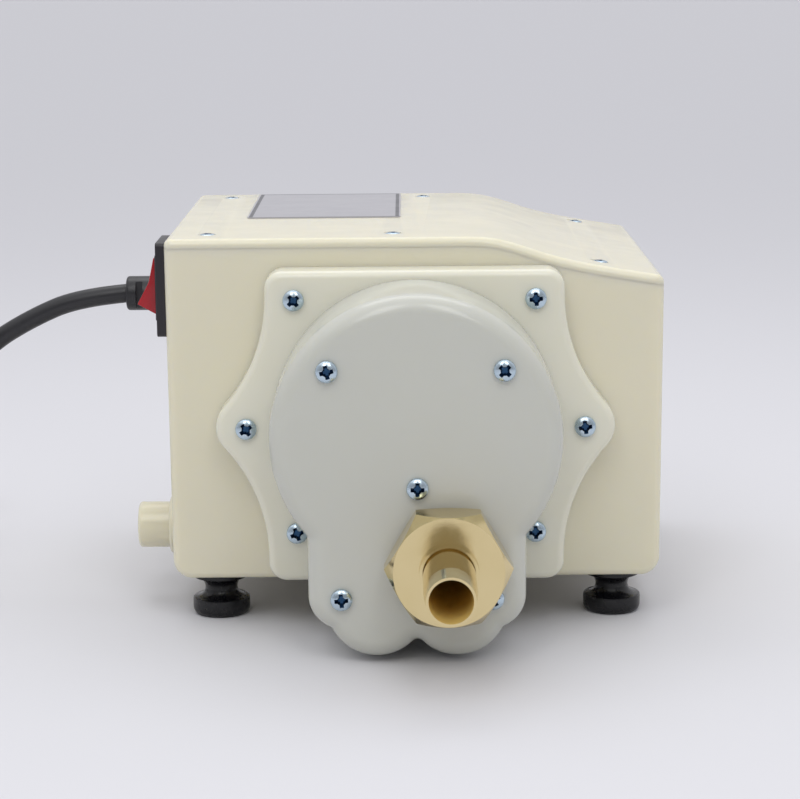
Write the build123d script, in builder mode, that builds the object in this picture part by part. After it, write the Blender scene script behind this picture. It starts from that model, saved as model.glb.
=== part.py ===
from build123d import *
import math
import os

# Mains-powered diaphragm booster pump for low-pressure gas.
# Frame: X to the pump's right, Y to its rear, Z up, millimetres.
# The origin is under the middle of the pump, on the surface that it stands on.

os.makedirs("parts", exist_ok=True)

# Casing
house_w = 165.0          # width at the lid
house_l = 146.0          # front wall to rear wall
foot_h = 15.4            # height of the casing's underside
top_z = 130.6            # flat part of the lid
wall = 3.5
lid_t = 3.2
side_draft = 0.3         # degrees, narrower towards the bottom
base_r = 6.5             # bottom corners seen from the front
edge_r = 2.5             # vertical edges
lid_r = 1.5              # upper rim of the lid
shoulder_x = 19.0        # the lid is flat from the left wall to here
shoulder_mid_x = 42.4
shoulder_mid_drop = 5.4
shoulder_end_drop = 13.4
shoulder_end_slope = 0.17
tab_l = 10.0             # square screw tabs under the lid
tab_t = 3.8
tab_inset = 13.5         # lid screws from the front and rear faces
tab_side_left = 13.5     # outer lid screws from the side walls
tab_side_right = 20.5
tab_mid_x = -7.0
tab_mid_x_rear = 4.0     # stands clear of the rating plate
lip_h = 2.2
lip_t = 1.6
tab_gap = 0.4            # lip to screw tab
tab_boss_wall = 2.4
lid_screw_over = 1.2     # thread past the tab
floor_boss_wall = 3.2
fit_gap = 0.25           # between parts that drop into each other

# Pump head on the front wall
head_z = 72.0            # axis of the diaphragm
plate_t = 12.0
plate_mid_z = 69.4
plate_half_w = 49.0
plate_half_h = 51.8
plate_corner_r = 6.0
plate_edge_r = 2.6
lobe_x = 55.6            # middle plate screws
lobe_r = 10.1
flank_r = 55.2           # hollow flanks between the lobes and the sides
screw_x = 39.4
screw_top_z = 111.9
screw_bottom_z = 34.2
plate_screw_over = 7.0   # thread past the casing's wall
screw_boss_l = 8.0       # bosses behind the wall
screw_boss_wall = 3.0
clamp_gap = 0.1
chamber_r = 38.0
chamber_floor_r = 34.0
chamber_depth = 6.0
clamp_r = 43.0           # outer radius of the diaphragm's rim
diaphragm_t = 2.0
wave_in_r = 26.0
wave_out_r = 36.0
wave_h = 3.0
flat_head_r = 3.5
rod_screw_l = 12.0       # thread of the diaphragm's screw in the rod
disc_edge_r = 0.5
disc_r = 23.0
front_disc_t = 1.5
rear_disc_t = 2.5

# Valves in the web of the front plate
valve_x = 20.0
valve_z = 76.0
valve_r = 9.3
valve_t = 1.5
valve_lift = 1.1
valve_gap = 0.1
pocket_r = 10.5
pocket_depth = 3.8
port_r = 1.8
port_ring_r = 6.2
port_count = 6
guide_r = 1.5
guide_head_r = 3.0
guide_head_t = 0.9
guide_run = 0.3
guide_sink = 0.2         # rear head below the chamber's floor
guide_sink_gap = 0.3

# Cover over the valves
cover_d = 38.0
cover_r = 46.4
cover_edge_r = 6.0
cover_wall = 4.0
cover_front_t = 5.0
skirt_x = 34.7
corner_x = 23.3
corner_z = 21.9
corner_r = 11.4
foot_lobe_x = 12.8
foot_lobe_z = 17.9
foot_lobe_r = 16.0
notch_r = 2.0
cover_screw_pos = [(-27.7, 95.0), (27.7, 95.0), (0.3, 57.5), (-24.0, 21.8), (24.0, 21.8)]
cover_screw_bite = 4.5   # thread in the front plate
screw_hole_over = 0.1    # blind hole past the screw's end
boss_r = 5.5
rib_t = 3.0
rib_offset = -5.6        # the partition passes left of the outlet thread
gasket_t = 1.0
gasket_inset = 1.6
gasket_rim = 1.5         # gasket's land inside the cover's wall
gasket_rib_land = 1.0

# Outlet nozzle, brass
nozzle_x = 9.8
nozzle_z = 34.4
hex_af = 35.0
hex_l = 14.0
hex_face_in = 0.15       # the hexagon's faces are turned to just under its flats
hex_bevel_front = 5.7    # length of the turned bevels at the corners
hex_bevel_rear = 2.5
thread_r = 10.45
thread_l = 13.0
thread_boss_r = 13.5
thread_end_gap = 2.0     # blind end behind the thread
thread_seal_gap = 0.05
spout_r = 8.2
spout_l = 33.2
spout_lead_l = 10.0      # slight taper at the spout's end
spout_end_r = 7.55
spout_bore_r = 6.75
collar_r = 9.3
collar_l = 3.2
ring_groove_w = 2.4
ring_groove_r = 7.7
seal_r = 13.4
seal_t = 2.8             # thick fibre ring, keeps the hexagon clear of a screw head

# Inlet port, low on the left wall, and the hose to the head
port_y = 38.0            # from the front face
port_z = 25.5
inlet_r = 8.0
inlet_reach = 14.5
inlet_bore_r = 5.0
inlet_bore_floor = 1.0   # end of the wide bore, outside the casing's wall
inlet_collar_r = 10.2
inlet_collar_t = 4.0
inlet_stem_r = 5.0
inlet_stem_end = 0.8     # stem past its retaining ring
inlet_ring_r = 6.2
inlet_ring_t = 1.2
inlet_edge_r = 1.2
hose_r = 5.5
hose_bore_r = 4.0
barb_l = 12.0
spigot_barb_l = 8.0
spigot_in_plate = 4.0
spigot_x = -13.0
spigot_bore_r = 2.8
spigot_flange_r = 5.6
spigot_flange_t = 2.0
hose_bend_r = 24.0
clip_t = 0.8
clip_w = 4.5
clip_inset = 2.0
seat_gap = 0.2
spot_face = 0.3          # flat cut round the port inside the wall

# Motor and crank
shaft_back = 48.0        # shaft axis behind the front face
eccentric = 2.0
shaft_r = 4.0
bush_r = 7.0
run_gap = 0.05           # radial clearance of running fits
core_x0 = 30.0           # laminations, from the head's axis towards the right
fan_wall_gap = 2.0
fan_gap = 1.0
core_half_z = 28.0
core_front = 24.0        # ahead of the shaft
core_rear = 54.0         # behind the shaft
core_r = 18.3
window_front = 24.0
window_rear = 42.0
window_half_z = 18.0
rotor_r = 18.0
end_ring_r = 16.0
end_ring_t = 3.0
end_ring_w = 5.0
bracket_t = 4.0
post_l = 5.0
post_r = 4.5
bearing_boss_r = 10.0
bearing_boss_l = 10.0
tie_y = [-19.0, 29.0]    # tie screws, from the shaft axis
tie_z = 23.0
tie_r = 2.0
pad_h = 5.0              # floor pads under the motor
foot_flange_l = 12.0
foot_flange_t = 4.0
motor_screw_y = [-16.0, 26.0]
motor_screw_floor = 1.2  # casing left under the screws
foot_flange_w = 13.0
bracket_corner_r = 4.0
bracket_window_r = 9.0
bracket_window_drop = 36.0
bracket_window_back = 20.0
bracket_arch_w = 24.0
bracket_arch_h = 16.0
tie_nut_af = 7.0
tie_nut_t = 3.2
tie_screw_over = 4.0
core_corner_r = 4.0
winding_t = 6.2
winding_in = 0.5         # winding inside the bobbin's flanges
winding_corner_r = 5.0
bobbin_flange_r = 3.0
bobbin_window_gap = 0.5
bobbin_t = 1.5
bobbin_gap = 0.2
coil_terminal_gap = 8.0
coil_terminal_back = 2.5
fan_w = 5.0
fan_r = 28.0
fan_hub_r = 8.0
fan_plate_r = 17.4
fan_plate_t = 1.0
blade_count = 7
vane_t = 1.4
vane_pitch = 14.0        # degrees
journal_r = 7.5
bearing_r = 16.0
bearing_w = 9.0
race_t = 2.2
shield_sink = 0.5
rod_end_r = 20.0
journal_side = 0.5       # journal past the bearing, both ways
washer_t = 1.2
washer_overlap = 2.0
washer_screw_l = 9.0
web_x0 = 6.0
web_t = 7.0
web_r = 13.0
weight_r = 20.0
weight_t = 5.0
weight_cut = 3.0         # the balance weight's upper edge, from the shaft
rod_flange_r = 9.0
rod_flange_t = 3.5
rod_neck_half = 7.0
rod_root_half = 11.0
rod_pocket_depth = 2.5
rod_pocket_front = 19.0
rod_pocket_neck = 2.5    # flange beside the pocket at the neck
rod_pocket_root = 4.0
rod_hole_over = 0.5
slot_count = 9
slot_pitch = 7.0
slot_l = 38.0
slot_w = 3.0

# Mains switch on the left wall
switch_y = 14.5
switch_z = 113.4
bezel_h = 31.4
bezel_d = 24.0
bezel_t = 3.0
bezel_corner_r = 1.6
bezel_bevel = 0.7
window_lip_w = 1.2
window_lip_h = 0.8
window_depth = 8.2       # from the bezel's face to the floor under the rocker
cutout_gap = 0.15
cutout_h = 19.2
cutout_d = 13.4
switch_depth = 8.2       # full-height body, behind the wall's outer face
contact_depth = 6.0      # lower block behind it
contact_h = 12.5
lug_out = 1.2
lug_h = 8.0
lug_l = 3.0
terminal_z = [107.0, 113.4]
blade_w = 4.8
blade_t = 0.8
blade_l = 7.6
window_h = 18.0
window_d = 12.0
rocker_d = 11.6
rocker_axis_in = 2.2     # behind the bezel's face
rocker_half = 7.1
rocker_skirt = 8.2
rocker_end_h = 5.7
rocker_mid_h = 4.7
rocker_base = -1.4
rocker_tilt = 20.0
trunnion_r = 0.9
trunnion_reach = 7.2     # from the rocker's middle
trunnion_gap = 0.06

# Mains lead
gland_y = 50.0
gland_z = 105.9
gland_r = 6.0
gland_l = 18.0
gland_root_r = 5.0
gland_core_r = 4.5
gland_flange_r = 6.6
gland_flange_t = 2.0
gland_rib_w = 3.5
gland_bevel = 0.8
rib_count = 3
rib_pitch = 5.9
gland_neck_r = 4.6
gland_inner_gap = 0.2
gland_inner_r = 6.0
gland_inner_t = 3.0
tail_l = 9.0             # sheath past the strain relief, inside
cord_r = 3.3
wire_r = 1.1
coil_in_r = 26.4
coil_out_r = 46.2
coil_h = 13.2
coil_dx = -220.0         # coil's centre, from the head's axis
coil_dy = 108.0          # and behind the front face
plug_w = 24.0
plug_h = 15.0
plug_l = 30.0
plug_tail_r = 4.6
plug_tail_l = 9.0
plug_corner_r = 3.0
pin_pitch = 12.7
pin_w = 6.3
pin_t = 1.5
pin_l = 17.0

# Feet
foot_side = 15.5         # from the side walls
foot_inset = 15.0
foot_base_r = 9.5
foot_neck_r = 5.3
foot_top_r = 8.0
foot_rim_h = 1.6
foot_neck_z = 8.2
foot_skirt_z = 4.6
foot_bulge_z = 2.9
foot_lip = 0.9           # the sole is this much inside the skirt
foot_pocket_gap = 0.6
foot_screw_sink = 2.2
foot_screw_short = 1.0
foot_boss_h = 8.0

# Screws
m4_r = 2.0
m4_head_r = 3.5
m4_head_h = 2.6
m4_clear = 0.25
m3_r = 1.5
m3_head_r = 2.7
m3_head_h = 1.6
m3_sink = 1.2

# Rating plate, bare
label_left = 23.9        # from the left wall
label_w = 54.1
label_rear = 5.0         # from the rear wall
label_l = 81.0
label_t = 0.3
label_corner_r = 1.5

# Worked out from the sizes above
front_reach = plate_t + cover_d + seal_t + hex_l + spout_l
cx = inlet_reach / 2
face_y = (front_reach - house_l) / 2
rear_y = face_y + house_l
half_w = house_w / 2
deck_z = top_z - lid_t
base_half_w = half_w - math.tan(math.radians(side_draft)) * (deck_z - foot_h)
cavity_z = foot_h + wall
shaft_y = face_y + shaft_back
shaft_z = head_z + eccentric
pad_z = cavity_z + pad_h
fan_x0 = half_w - wall - fan_wall_gap - fan_w
core_l = fan_x0 - fan_gap - bearing_boss_l - post_l - core_x0
foot_x = half_w - foot_side
tab_x = [tab_side_left - half_w, tab_mid_x, half_w - tab_side_right]
tab_x_rear = [tab_side_left - half_w, tab_mid_x_rear, half_w - tab_side_right]


def front(back):
    """Plane parallel to the front face, facing forwards, back mm behind the face."""
    return Plane(origin=(cx, face_y + back, 0), x_dir=(1, 0, 0), z_dir=(0, -1, 0))


def front_seat(x, z, back):
    """Seat for a screw that goes in from the front."""
    return Plane(origin=(cx + x, face_y + back, z), x_dir=(1, 0, 0), z_dir=(0, -1, 0))


def side(x):
    """Plane across the motor shaft, facing right, x mm right of the head's axis."""
    return Plane.YZ.offset(cx + x)


def shoulder(drop):
    """The lid's sloping right shoulder, lowered by drop."""
    return Spline(
        (shoulder_x, top_z - drop),
        (shoulder_mid_x, top_z - shoulder_mid_drop - drop),
        (half_w, top_z - shoulder_end_drop - drop),
        tangents=[(1, 0), (1, -shoulder_end_slope)],
    )


def roof_curve(drop):
    """The lid's line from the left wall over the right shoulder."""
    Line((-half_w, top_z - drop), (shoulder_x, top_z - drop))
    shoulder(drop)


def roof_z(x):
    """Height of the lid's upper face at x."""
    if x <= shoulder_x:
        return top_z
    curve = shoulder(0)
    low, high = 0.0, 1.0
    for _ in range(30):
        middle = (low + high) / 2
        if (curve @ middle).X < x:
            low = middle
        else:
            high = middle
    return (curve @ low).Y


def save(builder, name):
    """Label a finished piece and write it."""
    builder.part.label = name
    export_step(builder.part, f"parts/{name}.step")


def pan_screw(radius, length, head_r, head_h):
    """Pan-head screw on its seat: head up, shank down."""
    with BuildPart() as screw:
        Cylinder(head_r, head_h, align=(Align.CENTER, Align.CENTER, Align.MIN))
        fillet(screw.faces().sort_by(Axis.Z)[-1].edges(), radius=head_h * 0.55)
        Cylinder(radius, length, align=(Align.CENTER, Align.CENTER, Align.MAX))
    return screw.part


lid_screw_seats = [(x, face_y + tab_inset, roof_z(x)) for x in tab_x]
lid_screw_seats += [(x, rear_y - tab_inset, roof_z(x)) for x in tab_x_rear]
tab_drop = lid_t + lip_h + tab_gap + max(roof_z(x) - roof_z(x + tab_l / 2) for x in tab_x)
foot_places = [
    (cx + x, y) for x in (-foot_x, foot_x) for y in (face_y + foot_inset, rear_y - foot_inset)
]
plate_screw_pos = [
    (-screw_x, screw_top_z), (screw_x, screw_top_z),
    (-lobe_x, plate_mid_z), (lobe_x, plate_mid_z),
    (-screw_x, screw_bottom_z), (screw_x, screw_bottom_z),
]
motor_screw_x = [
    core_x0 - post_l - bracket_t - foot_flange_l / 2,
    core_x0 + core_l + post_l + bracket_t + foot_flange_l / 2,
]
motor_screw_seats = [(cx + x, shaft_y + y) for x in motor_screw_x for y in motor_screw_y]

# Casing: one open-topped moulding
with BuildPart() as housing:
    with BuildSketch(front(0)):
        with BuildLine():
            roof_curve(lid_t)
            Line((half_w, deck_z - shoulder_end_drop), (base_half_w, foot_h))
            Line((base_half_w, foot_h), (-base_half_w, foot_h))
            Line((-base_half_w, foot_h), (-half_w, deck_z))
        profile = make_face()
        fillet(profile.vertices().group_by(Axis.Y)[0], radius=base_r)
    extrude(amount=-house_l)
    upright = housing.edges().filter_by(lambda e: e.center().Z < deck_z - shoulder_end_drop)
    rim = upright.filter_by(lambda e: min(abs(e.center().Y - face_y), abs(e.center().Y - rear_y)) < 0.01)
    fillet(rim, radius=edge_r)
    with BuildSketch(front(wall)):
        with BuildLine():
            Polyline(
                (-half_w + wall, top_z),
                (-base_half_w + wall, cavity_z),
                (base_half_w - wall, cavity_z),
                (half_w - wall, top_z),
                close=True,
            )
        cavity = make_face()
        fillet(cavity.vertices().group_by(Axis.Y)[0], radius=base_r - wall)
    extrude(amount=-(house_l - 2 * wall), mode=Mode.SUBTRACT)
    # Screw tabs under the lid, one above each wall
    for x, y, z in lid_screw_seats:
        at_front = y < (face_y + rear_y) / 2
        wall_y = face_y + wall / 2 if at_front else rear_y - wall / 2
        tip_y = y + tab_l / 2 if at_front else y - tab_l / 2
        tab_top = z - tab_drop
        with BuildSketch(Plane.XY.offset(tab_top - tab_t)):
            with Locations((cx + x, (wall_y + tip_y) / 2)):
                Rectangle(tab_l, abs(tip_y - wall_y))
        extrude(amount=tab_t)
        with BuildSketch(Plane.XY.offset(tab_top - tab_t)):
            with Locations((cx + x, y)):
                Circle(m3_r)
        extrude(amount=tab_t, mode=Mode.SUBTRACT)
    # Floor bosses for the feet and pads for the motor
    with BuildSketch(Plane.XY.offset(foot_h)):
        with Locations(*foot_places):
            Circle(m4_r + floor_boss_wall)
    extrude(amount=wall + foot_boss_h)
    with BuildSketch(Plane.XY.offset(foot_h)):
        with Locations(*motor_screw_seats):
            Circle(m4_r + floor_boss_wall)
    extrude(amount=wall + pad_h)
    with BuildSketch(Plane.XY.offset(foot_h)):
        with Locations(*foot_places):
            Circle(m4_r)
    extrude(amount=wall + foot_boss_h, mode=Mode.SUBTRACT)
    with BuildSketch(Plane.XY.offset(foot_h + motor_screw_floor)):
        with Locations(*motor_screw_seats):
            Circle(m4_r)
    extrude(amount=wall + pad_h, mode=Mode.SUBTRACT)
    # Bosses behind the front wall for the plate screws
    with BuildSketch(front(0)):
        with Locations(*plate_screw_pos):
            Circle(m4_r + screw_boss_wall)
    extrude(amount=-(wall + screw_boss_l))
    with BuildSketch(front(0)):
        with Locations(*plate_screw_pos):
            Circle(m4_r)
        with Locations((0, head_z)):
            Circle(chamber_r)
        with Locations((spigot_x, port_z)):
            Circle(hose_bore_r)
    extrude(amount=-(wall + screw_boss_l), mode=Mode.SUBTRACT)
    # Left wall: inlet, switch and gland
    with BuildSketch(side(-half_w - 1)):
        with Locations((face_y + port_y, port_z)):
            Circle(inlet_stem_r + cutout_gap)
        with Locations((face_y + switch_y, switch_z)):
            Rectangle(cutout_d, cutout_h)
        with Locations((face_y + gland_y, gland_z)):
            Circle(gland_neck_r + cutout_gap)
    extrude(amount=wall + 3, mode=Mode.SUBTRACT)
    # Flat seat for the inlet's retaining ring, cut into the rounded inner corner
    with BuildSketch(side(-base_half_w + wall + spot_face)):
        with Locations((face_y + port_y, port_z)):
            Circle(inlet_ring_r + cutout_gap)
    extrude(amount=inlet_ring_t + 2, mode=Mode.SUBTRACT)
    # Rear wall: cooling slots behind the motor
    with BuildSketch(Plane(origin=(cx, rear_y, 0), x_dir=(1, 0, 0), z_dir=(0, -1, 0))):
        with Locations((core_x0 + core_l / 2, shaft_z)):
            with GridLocations(slot_pitch, 1, slot_count, 1):
                SlotOverall(slot_l, slot_w, rotation=90)
    extrude(amount=wall + 1, both=True, mode=Mode.SUBTRACT)
save(housing, "housing")

# Lid with its locating lip
with BuildPart() as lid_lip:
    with BuildSketch(Plane.XY.offset(deck_z - shoulder_end_drop - lip_h - 1)):
        with Locations((cx, (face_y + rear_y) / 2)):
            Rectangle(house_w - 2 * (wall + fit_gap), house_l - 2 * (wall + fit_gap))
            Rectangle(
                house_w - 2 * (wall + fit_gap + lip_t),
                house_l - 2 * (wall + fit_gap + lip_t),
                mode=Mode.SUBTRACT,
            )
    extrude(amount=shoulder_end_drop + lip_h + lid_t)
    with BuildSketch(front(0)):
        with BuildLine():
            roof_curve(lid_t)
            roof_curve(lid_t + lip_h)
            Line((half_w, deck_z - shoulder_end_drop), (half_w, deck_z - shoulder_end_drop - lip_h))
            Line((-half_w, deck_z - lip_h), (-half_w, deck_z))
        make_face()
    extrude(amount=-house_l, mode=Mode.INTERSECT)

with BuildPart() as housing_lid:
    with BuildSketch(front(0)):
        with BuildLine():
            roof_curve(0)
            roof_curve(lid_t)
            Line((half_w, top_z - shoulder_end_drop), (half_w, deck_z - shoulder_end_drop))
            Line((-half_w, deck_z), (-half_w, top_z))
        make_face()
    extrude(amount=-house_l)
    fillet(housing_lid.edges().filter_by(Axis.Z), radius=edge_r)
    fillet(housing_lid.faces().filter_by(lambda f: f.normal_at().Z > 0.9).edges(), radius=lid_r)
    add(lid_lip.part)
    for x, y, z in lid_screw_seats:
        # A small boss reaches down from the lid to the screw tab
        tab_top = z - tab_drop
        with BuildSketch(Plane.XY.offset(tab_top)):
            with Locations((cx + x, y)):
                Circle(m3_r + tab_boss_wall)
        extrude(amount=z - lid_t / 2 - tab_top)
        with BuildSketch(Plane.XY.offset(tab_top)):
            with Locations((cx + x, y)):
                Circle(m3_r + m4_clear)
        extrude(amount=tab_drop, mode=Mode.SUBTRACT)
        with BuildSketch(Plane.XY.offset(z - m3_sink)):
            with Locations((cx + x, y)):
                Circle(m3_head_r + m4_clear)
        extrude(amount=lid_t, mode=Mode.SUBTRACT)
save(housing_lid, "housing_lid")

lid_screw_l = tab_drop - m3_sink + tab_t + lid_screw_over
lid_screw = pan_screw(m3_r, lid_screw_l, m3_head_r, m3_head_h)
with BuildPart() as lid_screws:
    for x, y, z in lid_screw_seats:
        with Locations((cx + x, y, z - m3_sink)):
            add(lid_screw)
save(lid_screws, "lid_screws")

with BuildPart() as rating_plate:
    with BuildSketch(Plane.XY.offset(top_z)):
        with Locations((cx - half_w + label_left + label_w / 2, rear_y - label_rear - label_l / 2)):
            RectangleRounded(label_w, label_l, label_corner_r)
    extrude(amount=label_t)
save(rating_plate, "rating_plate")

# Rubber feet, spool shaped, with the screw head sunk from below
with BuildPart() as foot_form:
    with BuildSketch(Plane.XZ):
        with BuildLine():
            rim_line = Polyline(
                (m4_r + m4_clear, foot_h), (foot_top_r, foot_h), (foot_top_r, foot_h - foot_rim_h)
            )
            neck_line = Spline(
                rim_line @ 1,
                (foot_neck_r + 0.5, (foot_h - foot_rim_h + foot_neck_z + 0.4) / 2),
                (foot_neck_r, foot_neck_z),
                (foot_base_r - 1.6, foot_skirt_z),
            )
            skirt_line = Spline(
                neck_line @ 1, (foot_base_r, foot_bulge_z), (foot_base_r - foot_lip, 0),
                tangents=[(1, -0.35), (-0.5, -1)],
            )
            Polyline(
                skirt_line @ 1,
                (m4_head_r + foot_pocket_gap, 0),
                (m4_head_r + foot_pocket_gap, foot_screw_sink + m4_head_h),
                (m4_r + m4_clear, foot_screw_sink + m4_head_h),
                (m4_r + m4_clear, foot_h),
            )
        make_face()
    revolve(axis=Axis.Z)

foot_names = ["foot_front_left", "foot_rear_left", "foot_front_right", "foot_rear_right"]
for name, place in zip(foot_names, foot_places):
    with BuildPart() as foot:
        with Locations(place):
            add(foot_form.part)
    save(foot, name)

foot_screw_l = foot_h - foot_screw_sink - m4_head_h + wall + foot_boss_h - foot_screw_short
foot_screw = pan_screw(m4_r, foot_screw_l, m4_head_r, m4_head_h)
with BuildPart() as foot_screws:
    for x, y in foot_places:
        seat = Plane(origin=(x, y, foot_screw_sink + m4_head_h), z_dir=(0, 0, -1))
        with Locations(seat):
            add(foot_screw)
save(foot_screws, "foot_screws")


def plate_outline():
    """Front plate: a tall rectangle with a rounded lobe round each middle screw."""
    # Height at which a hollow flank leaves the straight side
    reach = flank_r + lobe_r
    rise = math.sqrt(reach ** 2 - (plate_half_w + flank_r - lobe_x) ** 2)
    lean = math.atan2(rise, plate_half_w + flank_r - lobe_x)
    touch_x = lobe_x + lobe_r * math.cos(lean)
    touch_z = lobe_r * math.sin(lean)
    with BuildSketch(Plane.XY, mode=Mode.PRIVATE) as quarter:
        with BuildLine():
            Line((0, 0), (lobe_x + lobe_r, 0))
            CenterArc((lobe_x, 0), lobe_r, 0, math.degrees(lean))
            RadiusArc((touch_x, touch_z), (plate_half_w, rise), flank_r)
            Line((plate_half_w, rise), (plate_half_w, plate_half_h - plate_corner_r))
            RadiusArc(
                (plate_half_w, plate_half_h - plate_corner_r),
                (plate_half_w - plate_corner_r, plate_half_h),
                -plate_corner_r,
            )
            Line((plate_half_w - plate_corner_r, plate_half_h), (0, plate_half_h))
            Line((0, plate_half_h), (0, 0))
        make_face()
    with Locations((0, plate_mid_z)):
        add(quarter.sketch)
        add(quarter.sketch.mirror(Plane.YZ))
        add(quarter.sketch.mirror(Plane.XZ))
        add(quarter.sketch.mirror(Plane.YZ).mirror(Plane.XZ))


# Front plate: clamps the diaphragm and carries both valves
with BuildPart() as front_plate:
    with BuildSketch(front(0)):
        plate_outline()
    extrude(amount=plate_t)
    fillet(front_plate.faces().sort_by(Axis.Y)[0].edges(), radius=plate_edge_r)
    # Clamping recess and dished chamber, from the rear
    with BuildSketch(front(0)):
        with Locations((0, head_z)):
            Circle(clamp_r + clamp_gap)
    extrude(amount=diaphragm_t, mode=Mode.SUBTRACT)
    with BuildSketch(front(-diaphragm_t)):
        with Locations((0, head_z)):
            Circle(chamber_r)
    with BuildSketch(front(-chamber_depth)):
        with Locations((0, head_z)):
            Circle(chamber_floor_r)
    loft(mode=Mode.SUBTRACT)
    # Inlet valve pocket on the chamber side
    with BuildSketch(front(-chamber_depth)):
        with Locations((-valve_x, valve_z)):
            Circle(pocket_r)
    extrude(amount=pocket_depth, mode=Mode.SUBTRACT)
    # Sunk seat for the outlet guide's rear head
    with BuildSketch(front(-chamber_depth)):
        with Locations((valve_x, valve_z)):
            Circle(guide_head_r + guide_sink_gap)
    extrude(amount=guide_head_t + guide_sink, mode=Mode.SUBTRACT)
    # Ports, guide holes, screw holes and the inlet passage
    with BuildSketch(front(0)):
        with Locations((-valve_x, valve_z), (valve_x, valve_z)):
            Circle(guide_r)
            with PolarLocations(port_ring_r, port_count):
                Circle(port_r)
        with Locations(*plate_screw_pos):
            Circle(m4_r + m4_clear)
        with Locations((spigot_x, port_z)):
            Circle(spigot_bore_r)
    extrude(amount=plate_t, mode=Mode.SUBTRACT)
    with BuildSketch(front(-plate_t)):
        with Locations(*cover_screw_pos):
            Circle(m4_r)
    extrude(amount=-(cover_screw_bite + screw_hole_over), mode=Mode.SUBTRACT)
    with BuildSketch(front(0)):
        with Locations((spigot_x, port_z)):
            Circle(hose_bore_r)
    extrude(amount=spigot_in_plate, mode=Mode.SUBTRACT)
save(front_plate, "front_plate")

plate_screw = pan_screw(m4_r, plate_t + wall + plate_screw_over, m4_head_r, m4_head_h)
with BuildPart() as plate_screws:
    for x, z in plate_screw_pos:
        with Locations(front_seat(x, z, -plate_t)):
            add(plate_screw)
save(plate_screws, "plate_screws")


def cover_outline(inset=0.0):
    """Cover: a round body that runs down into two corner bosses and two lobes."""
    with Locations((0, head_z)):
        Circle(cover_r - inset)
    with Locations((0, (corner_z + head_z) / 2)):
        Rectangle(2 * (skirt_x - inset), head_z - corner_z)
    with Locations((-corner_x, corner_z), (corner_x, corner_z)):
        Circle(corner_r - inset)
    with Locations((-foot_lobe_x, foot_lobe_z), (foot_lobe_x, foot_lobe_z)):
        Circle(foot_lobe_r - inset)


def cover_ribs(grow=0.0):
    """Screw bosses, outlet boss and the partition between the two gas chambers."""
    with Locations(*cover_screw_pos):
        Circle(boss_r + grow)
    with BuildLine():
        partition = Polyline(
            (0, head_z + cover_r), (0, 57.5), (rib_offset, nozzle_z + 12),
            (rib_offset, nozzle_z - 14), (0, 6),
        )
    trace(partition, line_width=rib_t + 2 * grow)


def notch_corners(sketch):
    """The hollow corners where the outline's arcs meet."""
    return sketch.vertices().filter_by(
        lambda v: v.Y < head_z - 25 and (abs(v.X) < 1 or 26 < abs(v.X) < 34.75)
    )


# Cover: hollow, with an inlet chamber at the left and an outlet chamber at the right
with BuildPart() as head_cover:
    with BuildSketch(front(-plate_t)) as cover_face:
        cover_outline()
        fillet(notch_corners(cover_face), radius=notch_r)
    extrude(amount=cover_d)
    fillet(head_cover.faces().sort_by(Axis.Y)[0].edges(), radius=cover_edge_r)
    with BuildSketch(front(-plate_t)):
        cover_outline(cover_wall)
        with BuildSketch(Plane.XY, mode=Mode.SUBTRACT):
            cover_ribs()
    extrude(amount=cover_d - cover_front_t, mode=Mode.SUBTRACT)
    # Rebate for the gasket
    with BuildSketch(front(-plate_t)):
        cover_outline(gasket_inset)
    extrude(amount=gasket_t, mode=Mode.SUBTRACT)
    with BuildSketch(front(-plate_t - cover_d + thread_l + thread_end_gap)):
        with Locations((nozzle_x, nozzle_z)):
            Circle(thread_boss_r)
    extrude(amount=thread_l)
    with BuildSketch(front(-plate_t)):
        with Locations(*cover_screw_pos):
            Circle(m4_r + m4_clear)
        with Locations((nozzle_x, nozzle_z)):
            Circle(thread_r)
    extrude(amount=cover_d, mode=Mode.SUBTRACT)
save(head_cover, "head_cover")

with BuildPart() as cover_gasket:
    with BuildSketch(front(-plate_t)):
        cover_outline(gasket_inset + fit_gap)
        with BuildSketch(Plane.XY, mode=Mode.SUBTRACT):
            cover_outline(cover_wall + gasket_rim)
            with BuildSketch(Plane.XY, mode=Mode.SUBTRACT):
                cover_ribs(gasket_rib_land)
        with Locations(*cover_screw_pos):
            Circle(m4_r + m4_clear, mode=Mode.SUBTRACT)
    extrude(amount=gasket_t)
save(cover_gasket, "cover_gasket")

cover_screw = pan_screw(m4_r, cover_d + cover_screw_bite, m4_head_r, m4_head_h)
with BuildPart() as cover_screws:
    for x, z in cover_screw_pos:
        with Locations(front_seat(x, z, -plate_t - cover_d)):
            add(cover_screw)
save(cover_screws, "cover_screws")

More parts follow.
